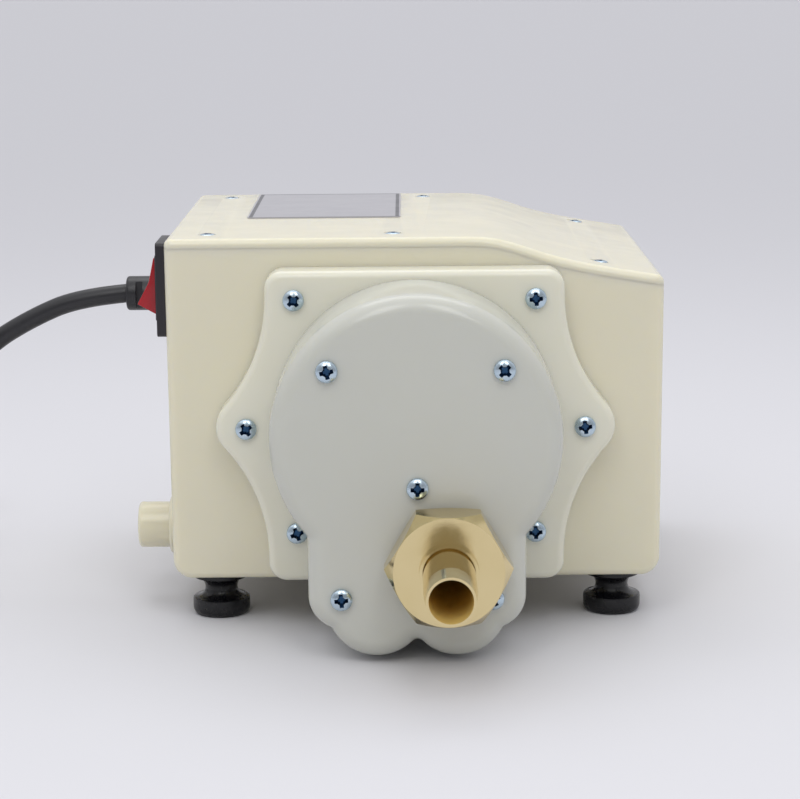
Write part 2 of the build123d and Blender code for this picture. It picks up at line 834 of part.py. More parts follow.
# Outlet nozzle: hexagon, grooved collar and smooth spout, bored through
cover_front = -plate_t - cover_d
hex_back = cover_front - seal_t
hex_front = hex_back - hex_l
with BuildPart() as outlet_nozzle:
    with BuildSketch(front(hex_back)):
        with Locations((nozzle_x, nozzle_z)):
            RegularPolygon(hex_af / 2, 6, major_radius=False)
    extrude(amount=hex_l)
    # Both ends of the hexagon are turned to a bevel
    turned_r = hex_af / 2 - hex_face_in
    corner_reach = hex_af / 2 / math.cos(math.radians(30)) + 0.1
    with BuildSketch(Plane(origin=(cx + nozzle_x, face_y + hex_back, nozzle_z), z_dir=(0, 0, 1))):
        with BuildLine():
            Polyline(
                (0, 0), (turned_r, 0), (corner_reach, -hex_bevel_rear),
                (corner_reach, hex_bevel_front - hex_l), (turned_r, -hex_l), (0, -hex_l),
                close=True,
            )
        make_face()
    revolve(axis=Axis((cx + nozzle_x, 0, nozzle_z), (0, 1, 0)), mode=Mode.INTERSECT)
    # Thread shank to the rear, then collar, ring groove and spout to the front
    steps = [
        (hex_back, thread_r, -(seal_t + thread_l)),
        (hex_front, collar_r, collar_l),
        (hex_front - collar_l, ring_groove_r, ring_groove_w),
        (hex_front - collar_l - ring_groove_w, spout_r, spout_l - collar_l - ring_groove_w - spout_lead_l),
    ]
    for back, radius, length in steps:
        with BuildSketch(front(back)):
            with Locations((nozzle_x, nozzle_z)):
                Circle(radius)
        extrude(amount=length)
    for back, radius in ((spout_lead_l - front_reach, spout_r), (-front_reach, spout_end_r)):
        with BuildSketch(front(back)):
            with Locations((nozzle_x, nozzle_z)):
                Circle(radius)
    loft()
    with BuildSketch(front(-front_reach)):
        with Locations((nozzle_x, nozzle_z)):
            Circle(spout_bore_r)
    extrude(amount=-front_reach, mode=Mode.SUBTRACT)
save(outlet_nozzle, "outlet_nozzle")

with BuildPart() as nozzle_seal:
    with BuildSketch(front(cover_front)):
        with Locations((nozzle_x, nozzle_z)):
            Circle(seal_r)
            Circle(thread_r + thread_seal_gap, mode=Mode.SUBTRACT)
    extrude(amount=seal_t)
save(nozzle_seal, "nozzle_seal")

# Diaphragm: clamped rim, one rolled wave, flat middle
with BuildPart() as diaphragm:
    with BuildSketch(Plane(origin=(cx, face_y, head_z), x_dir=(1, 0, 0), z_dir=(0, 0, 1))):
        with BuildLine():
            wave_mid = (wave_in_r + wave_out_r) / 2
            Line((m4_r, -diaphragm_t), (wave_in_r, -diaphragm_t))
            Spline(
                (wave_in_r, -diaphragm_t), (wave_mid, wave_h - diaphragm_t), (wave_out_r, -diaphragm_t),
                tangents=[(1, 0), (1, 0)],
            )
            Line((wave_out_r, -diaphragm_t), (clamp_r, -diaphragm_t))
            Line((clamp_r, -diaphragm_t), (clamp_r, 0))
            Line((clamp_r, 0), (wave_out_r, 0))
            Spline(
                (wave_out_r, 0), (wave_mid, wave_h), (wave_in_r, 0),
                tangents=[(-1, 0), (-1, 0)],
            )
            Line((wave_in_r, 0), (m4_r, 0))
            Line((m4_r, 0), (m4_r, -diaphragm_t))
        make_face()
    revolve(axis=Axis((cx, 0, head_z), (0, 1, 0)))
save(diaphragm, "diaphragm")


# Flat-head screw through the discs into the rod
screw_front = diaphragm_t + front_disc_t
with BuildPart() as diaphragm_screw:
    with BuildSketch(Plane(origin=(cx, face_y - screw_front, head_z), z_dir=(0, 0, 1))):
        with BuildLine():
            Polyline(
                (0, 0), (flat_head_r, 0), (m4_r, front_disc_t),
                (m4_r, screw_front + rear_disc_t + rod_screw_l),
                (0, screw_front + rear_disc_t + rod_screw_l),
                close=True,
            )
        make_face()
    revolve(axis=Axis((cx, 0, head_z), (0, 1, 0)))
save(diaphragm_screw, "diaphragm_screw")


def head_disc(back, thickness):
    """Clamping disc of the diaphragm, reaching forwards from back, with the screw's seat."""
    with BuildPart() as disc:
        with BuildSketch(front(back)):
            with Locations((0, head_z)):
                Circle(disc_r)
        extrude(amount=thickness)
        fillet(disc.edges(), radius=disc_edge_r)
        add(diaphragm_screw.part, mode=Mode.SUBTRACT)
    return disc


save(head_disc(-diaphragm_t, front_disc_t), "diaphragm_disc_front")
save(head_disc(rear_disc_t, rear_disc_t), "diaphragm_disc_rear")

# Connecting rod: flange on the rear disc, tapered beam, round big end
with BuildPart() as connecting_rod:
    with BuildSketch(front(rear_disc_t)):
        with Locations((0, head_z)):
            Circle(rod_flange_r)
    extrude(amount=-rod_flange_t)
    with BuildSketch(side(-bearing_w / 2)):
        with BuildLine():
            Polyline(
                (face_y + rear_disc_t + rod_flange_t, head_z - rod_neck_half),
                (shaft_y - bearing_r, head_z - rod_root_half),
                (shaft_y - bearing_r, head_z + rod_root_half),
                (face_y + rear_disc_t + rod_flange_t, head_z + rod_neck_half),
                close=True,
            )
        make_face()
        with Locations((shaft_y, head_z)):
            Circle(rod_end_r)
    extrude(amount=bearing_w)
    # Lightening pockets on both sides of the beam
    for plane, sign in ((side(-bearing_w / 2), 1), (side(bearing_w / 2), -1)):
        with BuildSketch(plane):
            with BuildLine():
                Polyline(
                    (face_y + rod_pocket_front, head_z - rod_neck_half + rod_pocket_neck),
                    (shaft_y - rod_end_r, head_z - rod_root_half + rod_pocket_root),
                    (shaft_y - rod_end_r, head_z + rod_root_half - rod_pocket_root),
                    (face_y + rod_pocket_front, head_z + rod_neck_half - rod_pocket_neck),
                    close=True,
                )
            make_face()
        extrude(amount=sign * rod_pocket_depth, mode=Mode.SUBTRACT)
    with BuildSketch(side(-bearing_w / 2)):
        with Locations((shaft_y, head_z)):
            Circle(bearing_r)
    extrude(amount=bearing_w, mode=Mode.SUBTRACT)
    with BuildSketch(front(rear_disc_t)):
        with Locations((0, head_z)):
            Circle(m4_r)
    extrude(amount=-(rod_screw_l + rod_hole_over), mode=Mode.SUBTRACT)
save(connecting_rod, "connecting_rod")

with BuildPart() as rod_bearing:
    with BuildSketch(side(-bearing_w / 2)):
        with Locations((shaft_y, head_z)):
            Circle(bearing_r)
            Circle(journal_r + run_gap, mode=Mode.SUBTRACT)
    extrude(amount=bearing_w)
    # Sunk shields between the two races
    for plane, sign in ((side(-bearing_w / 2), 1), (side(bearing_w / 2), -1)):
        with BuildSketch(plane):
            with Locations((shaft_y, head_z)):
                Circle(bearing_r - race_t)
                Circle(journal_r + race_t, mode=Mode.SUBTRACT)
        extrude(amount=sign * shield_sink, mode=Mode.SUBTRACT)
save(rod_bearing, "rod_bearing")

journal_end = -bearing_w / 2 - journal_side

# Eccentric on the motor shaft: offset journal, web and balance weight
with BuildPart() as eccentric_hub:
    with BuildSketch(side(journal_end)):
        with Locations((shaft_y, head_z)):
            Circle(journal_r)
    extrude(amount=web_x0 - journal_end)
    with BuildSketch(side(web_x0)):
        with Locations((shaft_y, shaft_z)):
            Circle(web_r)
    extrude(amount=web_t)
    with BuildSketch(side(web_x0 + (web_t - weight_t) / 2)):
        with Locations((shaft_y, shaft_z)):
            Circle(weight_r)
        with Locations((shaft_y, shaft_z - weight_r - weight_cut)):
            Rectangle(3 * weight_r, 2 * weight_r, mode=Mode.SUBTRACT)
    extrude(amount=weight_t)
    with BuildSketch(side(journal_end)):
        with Locations((shaft_y, shaft_z)):
            Circle(shaft_r)
    extrude(amount=web_x0 - journal_end + web_t, mode=Mode.SUBTRACT)
save(eccentric_hub, "eccentric_hub")

# Washer that keeps the bearing on its journal, screwed to the shaft's end
washer_screw_part = pan_screw(m3_r, washer_screw_l, m3_head_r, m3_head_h)
washer_seat = Plane(origin=(cx + journal_end - washer_t, shaft_y, shaft_z), z_dir=(-1, 0, 0))
with BuildPart() as washer_screw:
    with Locations(washer_seat):
        add(washer_screw_part)
save(washer_screw, "washer_screw")

with BuildPart() as bearing_washer:
    with BuildSketch(side(journal_end)):
        with Locations((shaft_y, head_z)):
            Circle(journal_r + washer_overlap)
        with Locations((shaft_y, shaft_z)):
            Circle(m3_r + m4_clear, mode=Mode.SUBTRACT)
    extrude(amount=-washer_t)
save(bearing_washer, "bearing_washer")

with BuildPart() as motor_shaft:
    with BuildSketch(side(journal_end)):
        with Locations((shaft_y, shaft_z)):
            Circle(shaft_r)
    extrude(amount=fan_x0 + fan_w - journal_end)
    add(washer_screw.part, mode=Mode.SUBTRACT)
save(motor_shaft, "motor_shaft")

with BuildPart() as rotor:
    with BuildSketch(side(core_x0)):
        with Locations((shaft_y, shaft_z)):
            Circle(rotor_r)
    extrude(amount=core_l)
    with BuildSketch(side(core_x0 - end_ring_t)):
        with Locations((shaft_y, shaft_z)):
            Circle(end_ring_r)
            Circle(end_ring_r - end_ring_w, mode=Mode.SUBTRACT)
    extrude(amount=core_l + 2 * end_ring_t)
    with BuildSketch(side(core_x0 - end_ring_t)):
        with Locations((shaft_y, shaft_z)):
            Circle(shaft_r)
    extrude(amount=core_l + 2 * end_ring_t, mode=Mode.SUBTRACT)
save(rotor, "rotor")

# Cooling fan: hub, back plate and straight blades set at a pitch
with BuildPart() as cooling_fan:
    with BuildSketch(side(fan_x0)):
        with Locations((shaft_y, shaft_z)):
            Circle(fan_hub_r)
    extrude(amount=fan_w)
    with BuildSketch(side(fan_x0)):
        with Locations((shaft_y, shaft_z)):
            Circle(fan_plate_r)
    extrude(amount=fan_plate_t)
    with BuildSketch(side(fan_x0)):
        with Locations((shaft_y, shaft_z)):
            with PolarLocations((fan_hub_r + fan_r) / 2 - 0.5, blade_count):
                Rectangle(fan_r - fan_hub_r + 1, vane_t, rotation=vane_pitch)
    extrude(amount=fan_w)
    with BuildSketch(side(fan_x0)):
        with Locations((shaft_y, shaft_z)):
            Circle(shaft_r)
    extrude(amount=fan_w, mode=Mode.SUBTRACT)
save(cooling_fan, "cooling_fan")

# Laminated core: rotor bore in front, coil window behind
core_mid_y = shaft_y + (core_rear - core_front) / 2
tie_places = [(shaft_y + y, shaft_z + z) for y in tie_y for z in (-tie_z, tie_z)]
with BuildPart() as stator_core:
    with BuildSketch(side(core_x0)):
        with Locations((core_mid_y, shaft_z)):
            RectangleRounded(core_front + core_rear, 2 * core_half_z, core_corner_r)
        with Locations((shaft_y, shaft_z)):
            Circle(core_r, mode=Mode.SUBTRACT)
        with Locations((shaft_y + (window_front + window_rear) / 2, shaft_z)):
            Rectangle(window_rear - window_front, 2 * window_half_z, mode=Mode.SUBTRACT)
        with Locations(*tie_places):
            Circle(tie_r + m4_clear, mode=Mode.SUBTRACT)
    extrude(amount=core_l)
save(stator_core, "stator_core")

# Bobbin and winding round the core's rear leg
leg_mid_y = shaft_y + (window_rear + core_rear) / 2
leg_w = core_rear - window_rear
bobbin_h = 2 * (window_half_z - bobbin_window_gap)
core_mid_x = cx + core_x0 + core_l / 2


def leg_box(grow):
    """Section across the rear leg, grown on every side."""
    with Locations((core_mid_x, leg_mid_y)):
        Rectangle(core_l + 2 * grow, leg_w + 2 * grow)


with BuildPart() as coil_bobbin:
    with BuildSketch(Plane.XY.offset(shaft_z - bobbin_h / 2)):
        leg_box(bobbin_gap + bobbin_t)
    extrude(amount=bobbin_h)
    for z in (shaft_z - bobbin_h / 2, shaft_z + bobbin_h / 2 - bobbin_t):
        with BuildSketch(Plane.XY.offset(z)):
            with Locations((core_mid_x, leg_mid_y)):
                RectangleRounded(
                    core_l + 2 * (bobbin_gap + bobbin_t + winding_t),
                    leg_w + 2 * (bobbin_gap + bobbin_t + winding_t),
                    bobbin_flange_r,
                )
        extrude(amount=bobbin_t)
    with BuildSketch(Plane.XY.offset(shaft_z - bobbin_h / 2)):
        leg_box(bobbin_gap)
    extrude(amount=bobbin_h, mode=Mode.SUBTRACT)
save(coil_bobbin, "coil_bobbin")

with BuildPart() as stator_coil:
    with BuildSketch(Plane.XY.offset(shaft_z - bobbin_h / 2 + bobbin_t)):
        with Locations((core_mid_x, leg_mid_y)):
            RectangleRounded(
                core_l + 2 * (bobbin_gap + bobbin_t + winding_t - winding_in),
                leg_w + 2 * (bobbin_gap + bobbin_t + winding_t - winding_in),
                winding_corner_r,
            )
        with BuildSketch(Plane.XY, mode=Mode.SUBTRACT):
            leg_box(bobbin_gap + bobbin_t)
    extrude(amount=bobbin_h - 2 * bobbin_t)
save(stator_coil, "stator_coil")


def motor_bracket(plate_x, outward):
    """End bracket: plate with feet and bearing boss, posts that reach in to the core.

    plate_x is the face towards the core, outward is -1 at the left and 1 at the right.
    """
    fore = shaft_y + tie_y[0] - post_r
    rear = shaft_y + tie_y[1] + post_r
    middle = (fore + rear) / 2
    top = shaft_z + tie_z + post_r
    with BuildPart() as bracket:
        with BuildSketch(side(plate_x)):
            with Locations((middle, (pad_z + top) / 2)):
                RectangleRounded(rear - fore, top - pad_z, bracket_corner_r)
            # Windows beside the bearing and an arch between the feet
            window_places = [(shaft_y, shaft_z - bracket_window_drop), (middle + bracket_window_back, shaft_z)]
            with Locations(*window_places):
                Circle(bracket_window_r, mode=Mode.SUBTRACT)
            with Locations((middle, pad_z)):
                SlotOverall(bracket_arch_w, bracket_arch_h, mode=Mode.SUBTRACT)
            with Locations(*tie_places):
                Circle(tie_r + m4_clear, mode=Mode.SUBTRACT)
        extrude(amount=outward * bracket_t)
        # Foot flanges on the pads
        for y in motor_screw_y:
            with BuildSketch(Plane.XY.offset(pad_z)):
                with Locations((cx + plate_x + outward * (bracket_t + foot_flange_l) / 2, shaft_y + y)):
                    Rectangle(bracket_t + foot_flange_l, foot_flange_w)
            extrude(amount=foot_flange_t)
        with BuildSketch(side(plate_x)):
            with Locations((shaft_y, shaft_z)):
                Circle(bearing_boss_r)
        extrude(amount=outward * bearing_boss_l)
        with BuildSketch(side(plate_x)):
            with Locations(*tie_places):
                Circle(post_r)
                Circle(tie_r + m4_clear, mode=Mode.SUBTRACT)
        extrude(amount=-outward * post_l)
        with BuildSketch(side(plate_x)):
            with Locations((shaft_y, shaft_z)):
                Circle(bush_r)
        extrude(amount=outward * bearing_boss_l, mode=Mode.SUBTRACT)
        with BuildSketch(Plane.XY.offset(pad_z)):
            with Locations(*motor_screw_seats):
                Circle(m4_r + m4_clear)
        extrude(amount=foot_flange_t, mode=Mode.SUBTRACT)
    return bracket


def bearing_bush(x):
    """Sintered bush in a bracket's boss, x at its left end."""
    with BuildPart() as bush:
        with BuildSketch(side(x)):
            with Locations((shaft_y, shaft_z)):
                Circle(bush_r)
                Circle(shaft_r + run_gap, mode=Mode.SUBTRACT)
        extrude(amount=bearing_boss_l)
    return bush


left_plate_x = core_x0 - post_l
right_plate_x = core_x0 + core_l + post_l
save(motor_bracket(left_plate_x, -1), "motor_bracket_left")
save(motor_bracket(right_plate_x, 1), "motor_bracket_right")
save(bearing_bush(left_plate_x - bearing_boss_l), "bearing_bush_left")
save(bearing_bush(right_plate_x), "bearing_bush_right")

tie_screw_l = right_plate_x - left_plate_x + 2 * bracket_t + tie_screw_over
tie_screw = pan_screw(tie_r, tie_screw_l, m4_head_r, m4_head_h)
with BuildPart() as motor_tie_screws:
    for y, z in tie_places:
        seat = Plane(origin=(cx + left_plate_x - bracket_t, y, z), z_dir=(-1, 0, 0))
        with Locations(seat):
            add(tie_screw)
save(motor_tie_screws, "motor_tie_screws")

with BuildPart() as motor_tie_nuts:
    with BuildSketch(side(right_plate_x + bracket_t)):
        with Locations(*tie_places):
            RegularPolygon(tie_nut_af / 2, 6, major_radius=False)
            Circle(tie_r, mode=Mode.SUBTRACT)
    extrude(amount=tie_nut_t)
save(motor_tie_nuts, "motor_tie_nuts")

motor_screw = pan_screw(m4_r, foot_flange_t + pad_h, m4_head_r, m4_head_h)
with BuildPart() as motor_foot_screws:
    for x, y in motor_screw_seats:
        with Locations((x, y, pad_z + foot_flange_t)):
            add(motor_screw)
save(motor_foot_screws, "motor_foot_screws")


def valve_disc(x, back):
    """Soft valve disc with its front face back mm behind the casing's front."""
    with BuildPart() as disc:
        with BuildSketch(front(back)):
            with Locations((x, valve_z)):
                Circle(valve_r)
                Circle(guide_r + guide_run, mode=Mode.SUBTRACT)
        extrude(amount=-valve_t)
    return disc


def valve_guide(x, seat_back, shank, sunk_head_back):
    """Headed pin that holds a valve disc: shank from sunk_head_back, heads at both ends."""
    with BuildPart() as guide:
        with BuildSketch(front(seat_back)):
            with Locations((x, valve_z)):
                Circle(guide_r)
        extrude(amount=shank)
        for back, amount in ((seat_back, guide_head_t), (sunk_head_back, guide_head_t)):
            with BuildSketch(front(back)):
                with Locations((x, valve_z)):
                    Circle(guide_head_r)
            extrude(amount=amount)
    return guide


# Inlet valve: behind the web, opens rearwards into the chamber
inlet_floor = -chamber_depth - pocket_depth
save(valve_disc(-valve_x, inlet_floor + valve_gap), "inlet_valve_disc")
inlet_stop = inlet_floor + valve_gap + valve_t + valve_lift + valve_gap
save(
    valve_guide(-valve_x, inlet_stop + guide_head_t, inlet_stop + plate_t + 2 * guide_head_t, -plate_t),
    "inlet_valve_guide",
)
# Outlet valve: in front of the web, opens forwards into the cover
outlet_back = -plate_t - valve_gap - valve_t
save(valve_disc(valve_x, outlet_back), "outlet_valve_disc")
outlet_stop = outlet_back - valve_lift - valve_gap
outlet_sunk = -chamber_depth - guide_sink
save(
    valve_guide(valve_x, outlet_sunk, outlet_sunk - outlet_stop + guide_head_t, outlet_stop),
    "outlet_valve_guide",
)


def wall_x(z):
    """Distance of the drafted side walls from the middle plane at height z."""
    return half_w - math.tan(math.radians(side_draft)) * max(deck_z - z, 0)


# Inlet port in the left wall, its retaining ring and the hose to the front plate
port_back = face_y + port_y
port_wall = -wall_x(port_z + inlet_collar_r)
port_inner = -base_half_w + wall + spot_face
with BuildPart() as inlet_port:
    with BuildSketch(side(port_wall)):
        with Locations((port_back, port_z)):
            Circle(inlet_collar_r)
    extrude(amount=-inlet_collar_t)
    fillet(inlet_port.faces().sort_by(Axis.X)[0].edges(), radius=inlet_edge_r)
    with BuildSketch(side(port_wall - inlet_collar_t)):
        with Locations((port_back, port_z)):
            Circle(inlet_r)
    extrude(amount=-(half_w + inlet_reach + port_wall - inlet_collar_t))
    fillet(inlet_port.faces().sort_by(Axis.X)[0].edges(), radius=inlet_edge_r)
    with BuildSketch(side(port_wall)):
        with Locations((port_back, port_z)):
            Circle(inlet_stem_r)
    extrude(amount=port_inner + inlet_ring_t + inlet_stem_end - port_wall)
    with BuildSketch(side(port_wall)):
        with Locations((port_back, port_z)):
            Circle(hose_bore_r)
    extrude(amount=port_inner + inlet_ring_t + inlet_stem_end + barb_l - port_wall)
    with BuildSketch(side(-half_w - inlet_reach)):
        with Locations((port_back, port_z)):
            Circle(inlet_bore_r)
    extrude(amount=inlet_reach - inlet_bore_floor, mode=Mode.SUBTRACT)
    with BuildSketch(side(-half_w - inlet_reach)):
        with Locations((port_back, port_z)):
            Circle(spigot_bore_r)
    extrude(amount=half_w, mode=Mode.SUBTRACT)
save(inlet_port, "inlet_port")

with BuildPart() as inlet_retaining_ring:
    with BuildSketch(side(port_inner)):
        with Locations((port_back, port_z)):
            Circle(inlet_ring_r)
            Circle(inlet_stem_r, mode=Mode.SUBTRACT)
    extrude(amount=inlet_ring_t)
save(inlet_retaining_ring, "inlet_retaining_ring")

with BuildPart() as head_spigot:
    with BuildSketch(front(wall + spigot_flange_t)):
        with Locations((spigot_x, port_z)):
            Circle(spigot_flange_r)
    extrude(amount=spigot_flange_t)
    spigot_l = spigot_in_plate + wall + spigot_flange_t + spigot_barb_l
    with BuildSketch(front(-spigot_in_plate)):
        with Locations((spigot_x, port_z)):
            Circle(hose_bore_r)
    extrude(amount=-spigot_l)
    with BuildSketch(front(-spigot_in_plate)):
        with Locations((spigot_x, port_z)):
            Circle(spigot_bore_r)
    extrude(amount=-spigot_l, mode=Mode.SUBTRACT)
save(head_spigot, "head_spigot")

hose_start = cx + port_inner + inlet_ring_t + inlet_stem_end + seat_gap
hose_end = face_y + wall + spigot_flange_t + seat_gap
with BuildPart() as inlet_hose:
    with BuildLine():
        FilletPolyline(
            (hose_start, port_back, port_z),
            (cx + spigot_x, port_back, port_z),
            (cx + spigot_x, hose_end, port_z),
            radius=hose_bend_r,
        )
    with BuildSketch(Plane(origin=(hose_start, port_back, port_z), z_dir=(1, 0, 0))):
        Circle(hose_r)
        Circle(hose_bore_r, mode=Mode.SUBTRACT)
    sweep()
save(inlet_hose, "inlet_hose")

clip_places = [
    Plane(origin=(hose_start + clip_inset, port_back, port_z), z_dir=(1, 0, 0)),
    Plane(origin=(cx + spigot_x, hose_end + clip_inset, port_z), z_dir=(0, 1, 0)),
]
with BuildPart() as hose_clips:
    for place in clip_places:
        with BuildSketch(place):
            Circle(hose_r + clip_t)
            Circle(hose_r, mode=Mode.SUBTRACT)
        extrude(amount=clip_w)
save(hose_clips, "hose_clips")

# Mains switch: frame with a moulded lip round its window
switch_back = face_y + switch_y
pivot_x = -half_w - bezel_t + rocker_axis_in
with BuildPart() as switch_frame:
    with BuildSketch(side(-half_w - bezel_t)):
        with Locations((switch_back, switch_z)):
            RectangleRounded(bezel_d, bezel_h, bezel_corner_r)
    extrude(amount=bezel_t)
    chamfer(switch_frame.faces().sort_by(Axis.X)[0].edges(), length=bezel_bevel)
    with BuildSketch(side(-half_w - bezel_t)):
        with Locations((switch_back, switch_z)):
            RectangleRounded(window_d + 2 * window_lip_w, window_h + 2 * window_lip_w, 1)
    extrude(amount=-window_lip_h)
    body_d = cutout_d - 2 * cutout_gap
    body_h = cutout_h - 2 * cutout_gap
    with BuildSketch(side(-half_w)):
        with Locations((switch_back, switch_z)):
            Rectangle(body_d, body_h)
    extrude(amount=switch_depth)
    # The contact block under the screw tab is lower
    with BuildSketch(side(-half_w + switch_depth)):
        with Locations((switch_back, switch_z - (body_h - contact_h) / 2)):
            Rectangle(body_d, contact_h)
    extrude(amount=contact_depth)
    # Snap lugs behind the wall
    lug_x = -half_w + wall + fit_gap
    with BuildSketch(side(lug_x)):
        with Locations((switch_back, switch_z)):
            Rectangle(body_d + 2 * lug_out, lug_h)
    extrude(amount=lug_l)
    # Window for the rocker and blind holes for its trunnions
    with BuildSketch(side(-half_w - bezel_t - window_lip_h)):
        with Locations((switch_back, switch_z)):
            Rectangle(window_d, window_h)
    extrude(amount=window_lip_h + window_depth, mode=Mode.SUBTRACT)
    with BuildSketch(front(switch_y - trunnion_reach - trunnion_gap)):
        with Locations((pivot_x, switch_z)):
            Circle(trunnion_r + trunnion_gap)
    extrude(amount=-2 * (trunnion_reach + trunnion_gap), mode=Mode.SUBTRACT)
save(switch_frame, "switch_frame")

# Rocker with a dished face, its lower end raised
with BuildSketch(Plane.XY, mode=Mode.PRIVATE) as rocker_side:
    with BuildLine():
        ThreePointArc((-rocker_end_h, rocker_half), (-rocker_mid_h, 0), (-rocker_end_h, -rocker_half))
        Polyline(
            (-rocker_end_h, -rocker_half), (0, -rocker_skirt), (-rocker_base, -rocker_skirt),
            (-rocker_base, rocker_skirt), (0, rocker_skirt), (-rocker_end_h, rocker_half),
        )
    make_face()
with BuildPart() as switch_rocker:
    with BuildSketch(front(switch_y - rocker_d / 2)):
        with Locations(Location((pivot_x, switch_z, 0), (0, 0, -rocker_tilt))):
            add(rocker_side.sketch)
    extrude(amount=-rocker_d)
    with BuildSketch(front(switch_y - trunnion_reach)):
        with Locations((pivot_x, switch_z)):
            Circle(trunnion_r)
    extrude(amount=-2 * trunnion_reach)
save(switch_rocker, "switch_rocker")

# Blade terminals on the contact block
terminal_x = -half_w + switch_depth + contact_depth
with BuildPart() as switch_terminals:
    with BuildSketch(side(terminal_x)):
        with Locations(*[(switch_back, z) for z in terminal_z]):
            Rectangle(blade_w, blade_t)
    extrude(amount=blade_l)
save(switch_terminals, "switch_terminals")

# Strain relief, moulded round the lead: flange, ribs and a neck through the wall
with BuildPart() as strain_relief:
    gland_at = Plane(origin=(cx - half_w, face_y + gland_y, gland_z), z_dir=(-1, 0, 0))
    with BuildSketch(gland_at):
        Circle(gland_flange_r)
    extrude(amount=gland_flange_t)
    with BuildSketch(gland_at):
        Circle(gland_root_r)
    with BuildSketch(gland_at.offset(gland_l)):
        Circle(gland_core_r)
    loft()
    for i in range(rib_count):
        with BuildSketch(gland_at.offset(gland_l - i * rib_pitch)):
            Circle(gland_r)
        extrude(amount=-gland_rib_w)
    chamfer(strain_relief.faces().sort_by(Axis.X)[0].edges(), length=gland_bevel)
    with BuildSketch(gland_at):
        Circle(gland_neck_r)
    extrude(amount=-(wall + gland_inner_gap + gland_inner_t))
    with BuildSketch(gland_at.offset(-(wall + gland_inner_gap))):
        Circle(gland_inner_r)
    extrude(amount=-gland_inner_t)
    with BuildSketch(gland_at.offset(-(wall + gland_inner_gap + gland_inner_t))):
        Circle(cord_r)
    extrude(amount=-tail_l)
save(strain_relief, "strain_relief")


def at(x, y, z):
    """Point from the head's axis, the front face and the floor."""
    return Vector(cx + x, face_y + y, z)


def cord_path(points):
    """Runs joined by the largest arcs that they allow; prints each radius."""
    radii = []
    for before, point, after in zip(points, points[1:], points[2:]):
        turn = math.radians((point - before).get_angle(after - point))
        shorter = min((point - before).length, (after - point).length)
        radii.append(0.45 * shorter / math.tan(turn / 2))
    print("radii", [round(radius, 1) for radius in radii])
    FilletPolyline(*points, radius=radii)


def tube(points, radius):
    """Round tube along a route."""
    with BuildPart() as solid:
        with BuildLine() as route:
            cord_path(points)
        with BuildSketch(Plane(origin=points[0], z_dir=points[1] - points[0])):
            Circle(radius)
        sweep()
    length = sum(edge.length for edge in route.edges())
    volume = length * math.pi * radius ** 2
    print("length", round(length, 1), "volume", round(solid.part.volume), "of", round(volume))
    return solid


# Mains lead: out of the strain relief, down in a free arc and along the floor into its coil
lead_route = [
    at(-half_w - gland_l, gland_y, gland_z), at(-117.5, 50, 104.6), at(-134, 50, 97.9),
    at(-150, 50, 88.3), at(-163, 51.3, 72.6), at(-173.5, 52.5, 55.5), at(-183.5, 54, 37.5),
    at(-195, 54.6, 19.9), at(-211.2, 56.2, 8.1), at(-229.9, 62.6, cord_r), at(-244.6, 72.9, cord_r),
]
save(tube(lead_route, cord_r), "power_cord")

with BuildPart() as cord_coil:
    with BuildSketch(Plane.XY):
        with Locations((cx + coil_dx, face_y + coil_dy)):
            Circle(coil_out_r)
            Circle(coil_in_r, mode=Mode.SUBTRACT)
    extrude(amount=coil_h)
    fillet(cord_coil.edges().filter_by(GeomType.CIRCLE), radius=cord_r)
save(cord_coil, "cord_coil")

plug_route = [
    at(-262.9, 107.3, coil_h - cord_r), at(-263, 127, 9.3), at(-256.5, 148, 8.4),
    at(-241.5, 162, 7.7), at(-222, 168.5, plug_h / 2),
]
save(tube(plug_route, cord_r), "plug_lead")

# Two-pin plug at the lead's end, lying flat
plug_dir = (plug_route[-1] - plug_route[-2]).normalized()
plug_dir = Vector(plug_dir.X, plug_dir.Y, 0).normalized()
plug_at = Plane(origin=plug_route[-1], x_dir=(plug_dir.Y, -plug_dir.X, 0), z_dir=plug_dir)
with BuildPart() as plug_body:
    with BuildSketch(plug_at):
        Circle(plug_tail_r)
    with BuildSketch(plug_at.offset(plug_tail_l)):
        RectangleRounded(plug_w, plug_h, plug_corner_r)
    loft()
    with BuildSketch(plug_at.offset(plug_tail_l)):
        RectangleRounded(plug_w, plug_h, plug_corner_r)
    extrude(amount=plug_l - plug_tail_l)
save(plug_body, "plug_body")

with BuildPart() as plug_pins:
    with BuildSketch(plug_at.offset(plug_l)):
        with GridLocations(pin_pitch, 1, 2, 1):
            Rectangle(pin_t, pin_w)
    extrude(amount=pin_l)
save(plug_pins, "plug_pins")

# Terminals on the coil's bobbin, and the wires between them, the switch and the lead
coil_top = shaft_z + bobbin_h / 2
coil_terminal_x = [core_x0 + core_l / 2 - coil_terminal_gap, core_x0 + core_l / 2 + coil_terminal_gap]
leg_back = leg_mid_y - face_y
terminal_back = leg_back + leg_w / 2 + bobbin_gap + bobbin_t + coil_terminal_back
with BuildPart() as coil_terminals:
    with BuildSketch(Plane.XY.offset(coil_top)):
        with Locations(*[(cx + x, face_y + terminal_back) for x in coil_terminal_x]):
            Rectangle(blade_w, blade_t)
    extrude(amount=blade_l)
save(coil_terminals, "coil_terminals")

